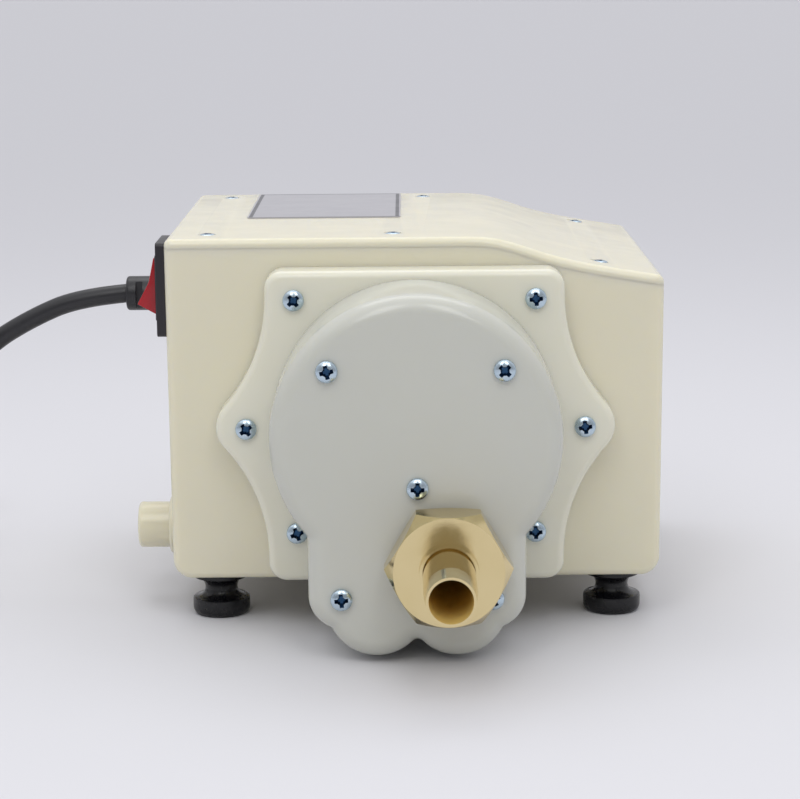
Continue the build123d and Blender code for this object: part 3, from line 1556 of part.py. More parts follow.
tail_x = -half_w + wall + gland_inner_gap + gland_inner_t + tail_l
blade_x = terminal_x + blade_l
blade_top = coil_top + blade_l
wires = {
    "live_wire": [
        at(tail_x, 48.6, gland_z), at(-54, 48.2, 106.1), at(-44, 42, 106.6), at(-39.5, 31.5, 107),
        at(-43, 20.5, 107.1), at(-51, 15, terminal_z[0]), at(blade_x, switch_y, terminal_z[0]),
    ],
    "switched_wire": [
        at(blade_x, switch_y, terminal_z[1]), at(-50, 15.5, 113.4), at(-38, 21, 113), at(-20, 33, 112.5),
        at(5, 52, 112), at(22, 70, 111), at(30, 84, 110), at(34.5, terminal_back - 3, 105.5),
        at(coil_terminal_x[0], terminal_back, blade_top),
    ],
    "neutral_wire": [
        at(tail_x, 51.4, gland_z), at(-54, 52.5, 106.3), at(-40, 58, 107.5), at(-18, 70, 109.5),
        at(8, 84, 110.5), at(32, terminal_back + 2, 112), at(45, terminal_back + 6, 109.5),
        at(50.5, terminal_back + 3, 104.8), at(coil_terminal_x[1], terminal_back, blade_top),
    ],
}
for name, points in wires.items():
    save(tube(points, wire_r), name)
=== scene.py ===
"""Gas booster pump: finishes, detailed pieces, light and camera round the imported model."""

import logging
import math
from dataclasses import dataclass
from enum import Enum
from typing import Iterable, Optional, Sequence

import bmesh
import bpy
from bmesh.types import BMEdge, BMesh, BMVert
from bpy.types import Material, Mesh, Node, NodeSocket, NodeTree, Object
from mathutils import Matrix, Vector
from mathutils.bvhtree import BVHTree


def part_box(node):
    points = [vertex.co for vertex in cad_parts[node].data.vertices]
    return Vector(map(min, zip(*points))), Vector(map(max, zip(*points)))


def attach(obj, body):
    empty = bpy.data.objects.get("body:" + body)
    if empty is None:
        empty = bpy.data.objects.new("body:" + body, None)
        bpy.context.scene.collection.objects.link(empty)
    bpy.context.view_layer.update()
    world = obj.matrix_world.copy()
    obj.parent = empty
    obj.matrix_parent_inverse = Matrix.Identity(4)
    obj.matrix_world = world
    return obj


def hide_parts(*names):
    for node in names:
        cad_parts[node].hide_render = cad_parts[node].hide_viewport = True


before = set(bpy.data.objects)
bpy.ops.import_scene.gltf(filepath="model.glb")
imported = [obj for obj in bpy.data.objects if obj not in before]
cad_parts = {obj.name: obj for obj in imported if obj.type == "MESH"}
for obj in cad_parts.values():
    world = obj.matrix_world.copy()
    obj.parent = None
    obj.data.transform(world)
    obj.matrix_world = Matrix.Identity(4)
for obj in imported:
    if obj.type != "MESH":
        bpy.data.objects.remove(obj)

Pair = tuple[float, float]

MM = 0.001
MERGE = 0.001 * MM
SHARP_DEGREES = 32
ACROSS = Vector((1, 0, 0))
AHEAD = Vector((0, 1, 0))
UP = Vector((0, 0, 1))
log = logging.getLogger("pump")

# Noise keeps mostly between these two values
NOISE_LOW, NOISE_HIGH = 0.35, 0.65
# Patches of uneven gloss in the width of one patch of colour
GLOSS_PATCHES = 3.3
# How far red, green and blue light spread inside plastic, as shares of the red's reach
MILK_SPREAD = (1.0, 0.9, 0.6)

HOUSE_LOW, HOUSE_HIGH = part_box("housing")
AXIS_X = (HOUSE_LOW.x + HOUSE_HIGH.x) / 2
FACE_Y = HOUSE_LOW.y


def at(x: float, back: float, z: float) -> Vector:
    """Gives a point in metres.

    Args:
        x: Millimetres to the right of the pump's middle plane.
        back: Millimetres behind the casing's front face.
        z: Millimetres above the floor.

    Returns:
        The point in the model's frame.
    """
    return Vector((AXIS_X + x * MM, FACE_Y + back * MM, z * MM))


def linear(hex_colour: str) -> tuple[float, float, float, float]:
    """Turns an sRGB hex colour into linear red, green, blue and alpha.

    Args:
        hex_colour: Six hexadecimal digits after a hash sign.

    Returns:
        Four linear values from 0 to 1.
    """
    parts = [int(hex_colour[i:i + 2], 16) / 255 for i in (1, 3, 5)]
    values = [c / 12.92 if c <= 0.04045 else ((c + 0.055) / 1.055) ** 2.4 for c in parts]
    return values[0], values[1], values[2], 1.0


def add_node(tree: NodeTree, kind: str, inputs: Optional[dict] = None, **settings: object) -> Node:
    """Adds one shader node.

    Args:
        tree: The node tree to add it to.
        kind: The node's Blender type name.
        inputs: Socket name or number, with a value or an output socket to link.
        settings: The node's own properties.

    Returns:
        The new node.
    """
    node = tree.nodes.new(kind)
    for name, value in settings.items():
        setattr(node, name, value)
    for socket, value in (inputs or {}).items():
        if isinstance(value, NodeSocket):
            tree.links.new(value, node.inputs[socket])
        else:
            node.inputs[socket].default_value = value
    return node


@dataclass(frozen=True)
class Finish:
    """A surface finish: its colour, how it mottles, and its fine relief.

    Attributes:
        name: The material's name.
        colour: sRGB hex of the surface in plain light.
        mottle: sRGB hex that the colour drifts towards.
        mottle_mm: Size of the drifting patches.
        grain_mm: Size of the fine relief.
        relief_mm: Height of the fine relief.
        roughness: Microscopic roughness of the shiniest parts.
        roughness_high: The same of the dullest parts.
        metallic: 1 for bare metal.
        ior: Index of refraction, None for metals.
        milkiness: Share of the light that goes in and comes out again nearby.
        milk_mm: How far it spreads inside.
    """

    name: str
    colour: str
    mottle: str
    mottle_mm: float
    grain_mm: float
    relief_mm: float
    roughness: float
    roughness_high: float
    metallic: float = 0.0
    ior: Optional[float] = None
    milkiness: float = 0.0
    milk_mm: float = 3.0

    def relief(self, tree: NodeTree, place: NodeSocket) -> NodeSocket:
        """Gives the height pattern of the surface.

        Args:
            tree: The material's node tree.
            place: Object coordinates.

        Returns:
            A height from 0 to 1.
        """
        grain = add_node(
            tree, "ShaderNodeTexNoise", {"Vector": place, "Scale": 1 / (self.grain_mm * MM), "Detail": 3.0}
        )
        return grain.outputs["Fac"]

    def ground(self, tree: NodeTree, place: NodeSocket) -> NodeSocket:
        """Gives the surface's colour.

        Args:
            tree: The material's node tree.
            place: Object coordinates.

        Returns:
            The colour, with its slow drift.
        """
        patches = add_node(
            tree, "ShaderNodeTexNoise", {"Vector": place, "Scale": 1 / (self.mottle_mm * MM), "Detail": 4.0}
        )
        tint = add_node(
            tree, "ShaderNodeMix",
            {0: patches.outputs["Fac"], 6: linear(self.colour), 7: linear(self.mottle)}, data_type="RGBA",
        )
        return tint.outputs[2]

    def material(self) -> Material:
        """Builds the material, or gives the one already built.

        Returns:
            The material under this finish's name.
        """
        done = bpy.data.materials.get(self.name)
        if done:
            return done
        made = bpy.data.materials.new(self.name)
        made.use_nodes = True
        tree = made.node_tree
        tree.nodes.clear()
        place = add_node(tree, "ShaderNodeTexCoord").outputs["Object"]
        smudges = add_node(
            tree, "ShaderNodeTexNoise",
            {"Vector": place, "Scale": GLOSS_PATCHES / (self.mottle_mm * MM), "Detail": 6.0},
        )
        gloss = add_node(
            tree, "ShaderNodeMapRange",
            {"Value": smudges.outputs["Fac"], "From Min": NOISE_LOW, "From Max": NOISE_HIGH,
             "To Min": self.roughness, "To Max": self.roughness_high},
        )
        bump = add_node(
            tree, "ShaderNodeBump",
            {"Height": self.relief(tree, place), "Distance": self.relief_mm * MM, "Strength": 1.0},
        )
        surface = add_node(
            tree, "ShaderNodeBsdfPrincipled",
            {"Base Color": self.ground(tree, place), "Roughness": gloss.outputs["Result"],
             "Normal": bump.outputs["Normal"], "Metallic": self.metallic,
             "Subsurface Weight": self.milkiness, "Subsurface Scale": self.milk_mm * MM,
             "Subsurface Radius": MILK_SPREAD},
        )
        if self.ior is not None:
            surface.inputs["IOR"].default_value = self.ior
        add_node(tree, "ShaderNodeOutputMaterial", {"Surface": surface.outputs["BSDF"]})
        return made


@dataclass(frozen=True)
class Turned(Finish):
    """Metal cut on a lathe about an axis along Y, with the tool's fine rings.

    Attributes:
        centre: A point on the lathe axis in metres.
    """

    centre: tuple[float, float, float] = (0.0, 0.0, 0.0)

    def relief(self, tree: NodeTree, place: NodeSocket) -> NodeSocket:
        """Gives rings that change only with the distance from the axis and along it.

        Args:
            tree: The material's node tree.
            place: Object coordinates.

        Returns:
            A height from 0 to 1.
        """
        centred = add_node(
            tree, "ShaderNodeMapping", {"Vector": place, "Location": [-c for c in self.centre]}
        )
        parts = add_node(tree, "ShaderNodeSeparateXYZ", {"Vector": centred.outputs[0]})
        across = add_node(tree, "ShaderNodeCombineXYZ", {"X": parts.outputs["X"], "Z": parts.outputs["Z"]})
        reach = add_node(tree, "ShaderNodeVectorMath", {0: across.outputs[0]}, operation="LENGTH")
        rings = add_node(
            tree, "ShaderNodeCombineXYZ", {"X": reach.outputs["Value"], "Y": parts.outputs["Y"]}
        )
        return super().relief(tree, rings.outputs[0])


@dataclass(frozen=True)
class Printed(Finish):
    """Printed foil: a dark line runs round it, a little inside its edge.

    Attributes:
        low: The foil's lowest corner in metres.
        high: Its highest corner.
        line: sRGB hex of the printed line.
        margin_mm: Foil outside the line.
        line_mm: Width of the line.
    """

    low: Pair = (0.0, 0.0)
    high: Pair = (0.0, 0.0)
    line: str = "#5c5c62"
    margin_mm: float = 0.5
    line_mm: float = 1.3

    def ground(self, tree: NodeTree, place: NodeSocket) -> NodeSocket:
        """Gives the foil's colour with the printed border.

        Args:
            tree: The material's node tree.
            place: Object coordinates.

        Returns:
            The colour.
        """
        parts = add_node(tree, "ShaderNodeSeparateXYZ", {"Vector": place})
        inside = []
        for axis in range(2):
            for edge, sign in ((self.low[axis], 1.0), (self.high[axis], -1.0)):
                from_edge = add_node(
                    tree, "ShaderNodeMath", {0: parts.outputs[axis], 1: sign, 2: -edge * sign},
                    operation="MULTIPLY_ADD",
                )
                inside.append(from_edge.outputs[0])
        nearest = inside[0]
        for other in inside[1:]:
            nearest = add_node(tree, "ShaderNodeMath", {0: nearest, 1: other}, operation="MINIMUM").outputs[0]
        middle = (self.margin_mm + self.line_mm / 2) * MM
        inked = add_node(
            tree, "ShaderNodeMath", {0: nearest, 1: middle, 2: self.line_mm / 2 * MM}, operation="COMPARE"
        )
        colour = add_node(
            tree, "ShaderNodeMix",
            {0: inked.outputs[0], 6: super().ground(tree, place), 7: linear(self.line)}, data_type="RGBA",
        )
        return colour.outputs[2]


# Each finish gives its patches, grain and relief in millimetres, then its lowest and highest roughness

# ABS moulding from a polished tool: cream, glossy, a little translucent so that its edges look soft
CASING = Finish(
    "abs_moulded_cream", "#e8e1ca", "#e4dfc6", 60, 0.8, 0.003, 0.17, 0.24, ior=1.54, milkiness=0.5, milk_mm=6
)
# The same ABS in a whiter batch: glossier, with faint flow marks
COVER = Finish(
    "abs_moulded_white", "#cbccc4", "#c7c8be", 45, 1.2, 0.003, 0.13, 0.19, ior=1.54, milkiness=0.25, milk_mm=5
)
# ABS plate between the two in tone
PLATE = Finish(
    "abs_moulded_ivory", "#e6e4d4", "#e2e0ce", 45, 0.9, 0.003, 0.16, 0.22, ior=1.54, milkiness=0.25, milk_mm=5
)
# Steel screws in blue-passivated zinc: bright with a cold tint and faint clouds
ZINC = Finish("zinc_plated_blue", "#cbd9e2", "#b3c8d8", 3, 0.6, 0.004, 0.16, 0.28, metallic=1.0)
# Painted shade: the same blue zinc made dark blue for the faces down in the punched recess, where shade falls
ZINC_RECESS_SHADE = Finish("zinc_recess_painted_shade", "#3f6184", "#2a4666", 1.5, 0.4, 0.01, 0.3, 0.42, metallic=1.0)
# Natural rubber with carbon black, compression moulded: deep black with a soft sheen
RUBBER = Finish("rubber_moulded_black", "#0b0b0e", "#111114", 12, 0.5, 0.008, 0.22, 0.32, ior=1.48)
# Plasticised PVC sheath, extruded: black, satin, a little orange peel
SHEATH = Finish("pvc_extruded_black", "#1a1a1e", "#212125", 15, 1.6, 0.02, 0.3, 0.4, ior=1.53)
# Glass-filled nylon, moulded: black with a dry look
NYLON_BLACK = Finish("nylon_moulded_black", "#17131a", "#1e1a20", 10, 0.4, 0.01, 0.34, 0.44, ior=1.53)
# Polycarbonate rocker from a polished tool: red and glossy
ROCKER_RED = Finish("polycarbonate_red", "#b30d1c", "#a30a18", 8, 0.9, 0.002, 0.14, 0.2, ior=1.5)
# Nitrile rubber sheet: black and matt
NITRILE = Finish("nitrile_sheet_black", "#202022", "#28282a", 10, 0.4, 0.008, 0.55, 0.65, ior=1.52)
# Vulcanised fibre washer: red-brown, matt
FIBRE = Finish("vulcanised_fibre_red", "#7a3626", "#6a2d20", 5, 0.3, 0.01, 0.6, 0.7, ior=1.5)
# Acetal, moulded: white and waxy
ACETAL = Finish("acetal_moulded_white", "#e6e6e0", "#dededa", 8, 0.5, 0.003, 0.3, 0.36, ior=1.48)
# Aluminium die casting: grey skin with fine pits
CAST_ALLOY = Finish("aluminium_die_cast", "#b4b6b8", "#a4a6a9", 9, 0.7, 0.03, 0.38, 0.5, metallic=1.0)
# Ground and hardened steel: bright, faintly streaked
GROUND_STEEL = Finish("steel_ground", "#a9abae", "#96999d", 6, 0.25, 0.003, 0.2, 0.3, metallic=1.0)
# Silicon-steel laminations, varnished: dark grey
LAMINATION = Finish("silicon_steel_varnished", "#5c5d60", "#505154", 6, 0.5, 0.02, 0.4, 0.5, metallic=1.0)
# Sintered bronze: porous, warm brown
SINTERED = Finish("bronze_sintered", "#a5845a", "#94744d", 3, 0.25, 0.02, 0.45, 0.55, metallic=1.0)
# Enamelled copper winding: dark red-brown and glossy
ENAMEL = Finish("copper_enamelled", "#8a3a1c", "#6f2c14", 2, 0.4, 0.05, 0.25, 0.35, metallic=1.0)
# Silicone hose: milky and satin
SILICONE = Finish("silicone_milky", "#d6d2c2", "#cdc9b8", 12, 0.6, 0.006, 0.32, 0.42, ior=1.43)
# Nylon bobbin and fan: natural, off-white
NYLON_NATURAL = Finish("nylon_moulded_natural", "#e4e2d8", "#dad8cd", 10, 0.5, 0.005, 0.34, 0.42, ior=1.53)
# PVC hook-up wire in the brown of the live side: glossy
WIRE_BROWN = Finish("pvc_wire_brown", "#5a2f1a", "#512a17", 8, 0.8, 0.01, 0.28, 0.36, ior=1.53)
# The same wire in the blue of the neutral side
WIRE_BLUE = Finish("pvc_wire_blue", "#1f4f9a", "#1b4689", 8, 0.8, 0.01, 0.28, 0.36, ior=1.53)
# Nickel-plated brass pins of the plug: bright and slightly warm
NICKEL = Finish("nickel_plated_brass", "#cbc6bb", "#bdb8ad", 3, 0.3, 0.003, 0.15, 0.24, metallic=1.0)


def placed(name: str, data: bpy.types.ID) -> Object:
    """Puts a new object into the scene.

    Args:
        name: The object's name.
        data: Its mesh, curve, lamp or camera.

    Returns:
        The object.
    """
    made = bpy.data.objects.new(name, data)
    bpy.context.scene.collection.objects.link(made)
    return made


def shade(bm: BMesh, sharp_degrees: float = SHARP_DEGREES) -> None:
    """Shades a mesh smooth, with its sharper edges kept crisp.

    Args:
        bm: The mesh.
        sharp_degrees: Angle between faces from which an edge stays crisp.
    """
    for face in bm.faces:
        face.smooth = True
    for edge in bm.edges:
        edge.smooth = edge.is_manifold and edge.calc_face_angle(0) < math.radians(sharp_degrees)


def merged_copy(node: str, sharp_degrees: float = SHARP_DEGREES) -> BMesh:
    """Gives a merged and shaded copy of a node's mesh, which is itself left alone.

    Args:
        node: The node's name.
        sharp_degrees: Angle between faces from which an edge stays crisp.

    Returns:
        A new bmesh.
    """
    bm = bmesh.new()
    bm.from_mesh(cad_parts[node].data)
    bmesh.ops.remove_doubles(bm, verts=bm.verts, dist=MERGE)
    shade(bm, sharp_degrees)
    return bm


def to_mesh(bm: BMesh, name: str) -> Mesh:
    """Writes a bmesh to a new mesh and frees it.

    Args:
        bm: The bmesh.
        name: The mesh's name.

    Returns:
        The mesh.
    """
    mesh = bpy.data.meshes.new(name)
    bm.to_mesh(mesh)
    bm.free()
    return mesh


def skin(
    node: str, bm: BMesh, finishes: Sequence[Finish], body: str = "root", ending: str = "skin"
) -> Object:
    """Puts a shape into the scene as the visible piece of a node.

    Args:
        node: The node that it replaces.
        bm: The shape in its place, used up.
        finishes: Its finishes, in the order of its faces' material numbers.
        body: The body that it moves with.
        ending: What follows the node's name in its own.

    Returns:
        The piece.
    """
    made = placed(f"{node}_{ending}", to_mesh(bm, node))
    for finish in finishes:
        made.data.materials.append(finish.material())
    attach(made, body)
    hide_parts(node)
    log.info("%s: %d faces", made.name, len(made.data.polygons))
    return made


def dressed(node: str, finish: Finish) -> Object:
    """Shows a smoothly shaded copy of a node in its place.

    Args:
        node: The node that the copy stands for.
        finish: Its finish.

    Returns:
        The copy.
    """
    return skin(node, merged_copy(node), [finish])


def solids(node: str) -> list[tuple[Vector, Vector]]:
    """Finds the boxes of a node's separate solids.

    Args:
        node: The node's name.

    Returns:
        The lowest and highest corner of each solid, in order of place.
    """
    bm = merged_copy(node)
    left = set(bm.verts)
    boxes = []
    while left:
        stack = [left.pop()]
        found = [stack[0].co.copy()]
        while stack:
            for edge in stack.pop().link_edges:
                for vert in edge.verts:
                    if vert in left:
                        left.remove(vert)
                        stack.append(vert)
                        found.append(vert.co.copy())
        low = Vector([min(co[i] for co in found) for i in range(3)])
        high = Vector([max(co[i] for co in found) for i in range(3)])
        boxes.append((low, high))
    bm.free()
    # Corners are compared to four decimals of a metre
    return sorted(boxes, key=lambda box: [round(box[0][axis], 4) for axis in (2, 0, 1)])


class Joining(Enum):
    """What a tool shape does to a blank."""

    CUT = "DIFFERENCE"
    FUSE = "UNION"


def joined(blank: BMesh, tools: Iterable[tuple[BMesh, Joining]]) -> BMesh:
    """Cuts shapes from a blank or fuses them to it. The faces of a cut take material number 1.

    Args:
        blank: The shape to work on, used up.
        tools: Shapes, used up, with what each does.

    Returns:
        The result.
    """
    spare = [bpy.data.materials.new(f"side_{i}") for i in range(2)]
    body = placed("blank", to_mesh(blank, "blank"))
    spent = [body]
    for material in spare:
        body.data.materials.append(material)
    for shape, joining in tools:
        tool = placed("tool", to_mesh(shape, "tool"))
        tool.data.materials.append(spare[1] if joining is Joining.CUT else spare[0])
        change = body.modifiers.new("change", "BOOLEAN")
        change.operation = joining.value
        change.object = tool
        change.material_mode = "TRANSFER"
        spent.append(tool)
    bpy.context.view_layer.update()
    graph = bpy.context.evaluated_depsgraph_get()
    mesh = bpy.data.meshes.new_from_object(body.evaluated_get(graph))
    result = bmesh.new()
    result.from_mesh(mesh)
    bpy.data.meshes.remove(mesh)
    for thing in spent:
        data = thing.data
        bpy.data.objects.remove(thing)
        bpy.data.meshes.remove(data)
    for material in spare:
        bpy.data.materials.remove(material)
    return result


def block(low: Vector, high: Vector) -> BMesh:
    """Makes a block between two corners.

    Args:
        low: Lowest corner in metres.
        high: Highest corner.

    Returns:
        The block.
    """
    bm = bmesh.new()
    bmesh.ops.create_cube(bm, size=1)
    bmesh.ops.scale(bm, vec=high - low, verts=bm.verts)
    bmesh.ops.translate(bm, vec=(low + high) / 2, verts=bm.verts)
    return bm


def cone(radii: Pair, depth: float, middle: Vector, segments: int) -> BMesh:
    """Makes an upright cone or cylinder.

    Args:
        radii: Its radius at the lower and the upper end in millimetres.
        depth: Its height in millimetres.
        middle: Its middle in metres.
        segments: Faces round it.

    Returns:
        The shape.
    """
    bm = bmesh.new()
    bmesh.ops.create_cone(
        bm, cap_ends=True, segments=segments, radius1=radii[0] * MM, radius2=radii[1] * MM, depth=depth * MM
    )
    bmesh.ops.translate(bm, vec=middle, verts=bm.verts)
    return bm


def drawn_out(corners: Sequence[Vector], depth: float) -> BMesh:
    """Draws a flat outline out backwards into a closed shape.

    Args:
        corners: The outline's corners in metres.
        depth: How far it is drawn out, in metres.

    Returns:
        The shape.
    """
    bm = bmesh.new()
    front = bm.faces.new([bm.verts.new(co) for co in corners])
    grown = bmesh.ops.extrude_face_region(bm, geom=[front])["geom"]
    rear = [part for part in grown if isinstance(part, BMVert)]
    bmesh.ops.translate(bm, verts=rear, vec=AHEAD * depth)
    bmesh.ops.recalc_face_normals(bm, faces=bm.faces)
    return bm


def round_edges(bm: BMesh, edges: Sequence[BMEdge], radius: float, segments: int) -> None:
    """Rounds edges.

    Args:
        bm: The mesh.
        edges: The edges to round.
        radius: Size of the rounding in millimetres.
        segments: Faces across it.
    """
    bmesh.ops.bevel(
        bm, geom=list(edges), offset=radius * MM, offset_type="OFFSET", segments=segments, profile=0.5,
        affect="EDGES", clamp_overlap=False, material=-1,
    )


def along(bm: BMesh, way: Vector) -> list[BMEdge]:
    """Finds the edges that run one way.

    Args:
        bm: The mesh.
        way: The direction.

    Returns:
        Those edges.
    """
    parallel = 0.999
    return [e for e in bm.edges if abs((e.verts[0].co - e.verts[1].co).normalized().dot(way)) > parallel]


def arc(centre: Pair, radii: Pair, start: float, end: float, count: int) -> list[Pair]:
    """Gives points on part of an ellipse.

    Args:
        centre: The ellipse's middle.
        radii: Its two half widths.
        start: First angle in degrees.
        end: Last angle.
        count: Number of points.

    Returns:
        The points, both ends included.
    """
    angles = [math.radians(start + (end - start) * i / (count - 1)) for i in range(count)]
    return [(centre[0] + radii[0] * math.cos(a), centre[1] + radii[1] * math.sin(a)) for a in angles]


def turned(profile: Sequence[Pair], place: Matrix, steps: int = 64) -> BMesh:
    """Turns a profile about its Z axis.

    Args:
        profile: Radius and height pairs in millimetres.
        place: Where the profile's origin and axis go.
        steps: Faces round the axis.

    Returns:
        The turned shape, closed if the profile is closed or ends on the axis.
    """
    bm = bmesh.new()
    verts = [bm.verts.new((r * MM, 0, z * MM)) for r, z in profile]
    for first, second in zip(verts, verts[1:]):
        bm.edges.new((first, second))
    bmesh.ops.spin(
        bm, geom=bm.verts[:] + bm.edges[:], cent=(0, 0, 0), axis=(0, 0, 1), angle=math.tau, steps=steps,
        use_merge=True,
    )
    bmesh.ops.remove_doubles(bm, verts=bm.verts, dist=MERGE)
    bmesh.ops.recalc_face_normals(bm, faces=bm.faces)
    bmesh.ops.transform(bm, matrix=place, verts=bm.verts)
    return bm


class Facing(Enum):
    """The way that a screw's head points, as degrees about X from upright."""

    FRONT = 90
    UP = 0
    DOWN = 180

    def turn(self) -> Matrix:
        """Gives the rotation of a head that points up."""
        return Matrix.Rotation(math.radians(self.value), 4, "X")


@dataclass
class CrossScrews:
    """Pan-head screws with a cross recess, in the place of one node's plain ones.

    Attributes:
        node: The node that holds the plain screws.
        facing: The way that the heads point.
        turns: Turn of each recess in degrees, by place from the lowest, then from the left.
        head_r: Radius of a head in millimetres.
        head_h: Height of a head.
        shank_r: Radius of a shank.
        recess_w: Width of the recess's arms at the mouth.
        recess_r: Reach of its arms.
        recess_d: Its depth.
        shank_l: Length of shank that is made.
        shoulder: Where a head's dome begins, as a share of its height.
        taper: Height of the taper at its seat and radius there, as shares of its height and radius.
        mouth: Reach and width of the cutting arms over the head, as shares of the recess's.
        floor: The same at the recess's floor.
        pit_ends: Radius of its middle, at the floor and over the head, as shares of its reach.
        over: How far the cutting shapes stand over the head.
        sharp_degrees: Angle between faces from which an edge stays crisp.
    """

    node: str
    facing: Facing
    turns: Sequence[float]
    head_r: float = 3.5
    head_h: float = 2.6
    shank_r: float = 2.0
    recess_w: float = 1.35
    recess_r: float = 2.5
    recess_d: float = 2.0
    shank_l: float = 3.0
    shoulder: float = 0.42
    taper: Pair = (0.14, 0.97)
    mouth: Pair = (1.04, 1.08)
    floor: Pair = (0.45, 0.7)
    pit_ends: Pair = (0.3, 0.62)
    over: float = 0.3
    sharp_degrees: float = 28.0

    def head(self) -> BMesh:
        """Builds one head that points up, with its seat at the origin.

        Returns:
            The head, closed.
        """
        r, h = self.head_r, self.head_h
        taper_h, seat_r = self.taper
        dome = arc((0, h * self.shoulder), (r, h * (1 - self.shoulder)), 90, 0, 12)
        skirt = [(r, h * taper_h), (r * seat_r, 0), (self.shank_r, 0), (self.shank_r, -self.shank_l)]
        return turned([*dome, *skirt, (0, -self.shank_l)], Matrix.Identity(4), 48)

    def arm(self, quarter: int) -> BMesh:
        """Builds one tapering bar of the recess.

        Args:
            quarter: 0 or 1, the bar's way across the head.

        Returns:
            The bar.
        """
        low, high = self.head_h - self.recess_d, self.head_h + self.over
        bm = block(Vector((-1, -1, low)), Vector((1, 1, high)))
        for vert in bm.verts:
            reach, width = self.mouth if vert.co.z > self.head_h else self.floor
            vert.co.x *= self.recess_r * reach
            vert.co.y *= self.recess_w / 2 * width
        bmesh.ops.scale(bm, vec=(MM, MM, MM), verts=bm.verts)
        turn = Matrix.Rotation(quarter * math.pi / 2, 3, "Z")
        bmesh.ops.rotate(bm, cent=(0, 0, 0), matrix=turn, verts=bm.verts)
        return bm

    def pit(self) -> BMesh:
        """Builds the tapering middle of the recess, where its arms meet.

        Returns:
            The middle.
        """
        low_r, high_r = (self.recess_r * share for share in self.pit_ends)
        middle = UP * (self.head_h + (self.over - self.recess_d) / 2) * MM
        return cone((low_r, high_r), self.recess_d + self.over, middle, 24)

    def build(self) -> None:
        """Builds every screw of the group in its place."""
        cutters = [(self.arm(0), Joining.CUT), (self.arm(1), Joining.CUT), (self.pit(), Joining.CUT)]
        one = to_mesh(joined(self.head(), cutters), "screw")
        bm = bmesh.new()
        for (low, high), spun in zip(solids(self.node), self.turns):
            middle = (low + high) / 2
            seat = {
                Facing.FRONT: Vector((middle.x, low.y + self.head_h * MM, middle.z)),
                Facing.UP: Vector((middle.x, middle.y, high.z - self.head_h * MM)),
                Facing.DOWN: Vector((middle.x, middle.y, low.z + self.head_h * MM)),
            }[self.facing]
            count = len(bm.verts)
            bm.from_mesh(one)
            bm.verts.ensure_lookup_table()
            spin = Matrix.Rotation(math.radians(spun), 4, "Z")
            place = Matrix.Translation(seat) @ self.facing.turn() @ spin
            bmesh.ops.transform(bm, matrix=place, verts=bm.verts[count:])
        bpy.data.meshes.remove(one)
        shade(bm, self.sharp_degrees)
        # The faces cut for the recess take the zinc with painted shade
        skin(self.node, bm, [ZINC, ZINC_RECESS_SHADE], ending="heads")


@dataclass
class Lid:
    """The casing's lid: one slab that follows the roof, its rim rounded, its screws sunk.

    Attributes:
        thickness: Of the slab, in millimetres.
        rim_r: Rounding of its upper rim.
        corner_r: Rounding of its corners seen from above.
        segments: Faces across each of these roundings.
        stations: Number of sections along the roof.
        edge: Strip beside each end where the roof's height isn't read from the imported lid.
        recess_r: Radius of the screw recesses.
        recess_d: Their depth.
    """

    thickness: float = 3.2
    rim_r: float = 2.3
    corner_r: float = 2.5
    segments: int = 6
    stations: int = 34
    edge: float = 3.0
    recess_r: float = 2.95
    recess_d: float = 1.2

    def roof(self, tree: BVHTree, x: float, y: float) -> float:
        """Gives the roof's height. It is level in the left strip and keeps its slope in the right one.

        Args:
            tree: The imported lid's surface.
            x: Place across, in metres.
            y: Place along, in metres.

        Returns:
            The height in metres.
        """
        low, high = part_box("housing_lid")
        strip = self.edge * MM

        def below(place: float) -> float:
            """Gives the surface's height at one place across."""
            return tree.ray_cast(Vector((place, y, high.z + strip)), -UP)[0].z

        inner = min(max(x, low.x + strip), high.x - strip)
        height = below(inner)
        if x > inner:
            height += (x - inner) / strip * (height - below(inner - strip))
        return height

    def build(self) -> None:
        """Builds the lid."""
        source = merged_copy("housing_lid")
        tree = BVHTree.FromBMesh(source)
        source.free()
        low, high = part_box("housing_lid")
        middle_y = (low.y + high.y) / 2
        line = [low.x + (high.x - low.x) * i / (self.stations - 1) for i in range(self.stations)]
        upper = [Vector((x, low.y, self.roof(tree, x, middle_y))) for x in line]
        lower = [co - UP * self.thickness * MM for co in reversed(upper)]
        bm = drawn_out(upper + lower, high.y - low.y)
        round_edges(bm, along(bm, UP), self.corner_r, self.segments)
        # The rim runs between the roof, which slopes less than 45 degrees, and an upright side
        roof_z, side_z = 0.7, 0.1
        rim = [
            e for e in bm.edges
            if len(e.link_faces) == 2 and max(f.normal.z for f in e.link_faces) > roof_z
            and abs(min(f.normal.z for f in e.link_faces)) < side_z
        ]
        round_edges(bm, rim, self.rim_r, self.segments)
        tools = []
        for screw_low, screw_high in solids("lid_screws"):
            seat = (screw_low + screw_high) / 2
            seat.z = self.roof(tree, seat.x, middle_y)
            tools.append((cone((self.recess_r, self.recess_r), 2 * self.recess_d, seat, 40), Joining.CUT))
        bm = joined(bm, tools)
        shade(bm)
        skin("housing_lid", bm, [CASING, CASING])


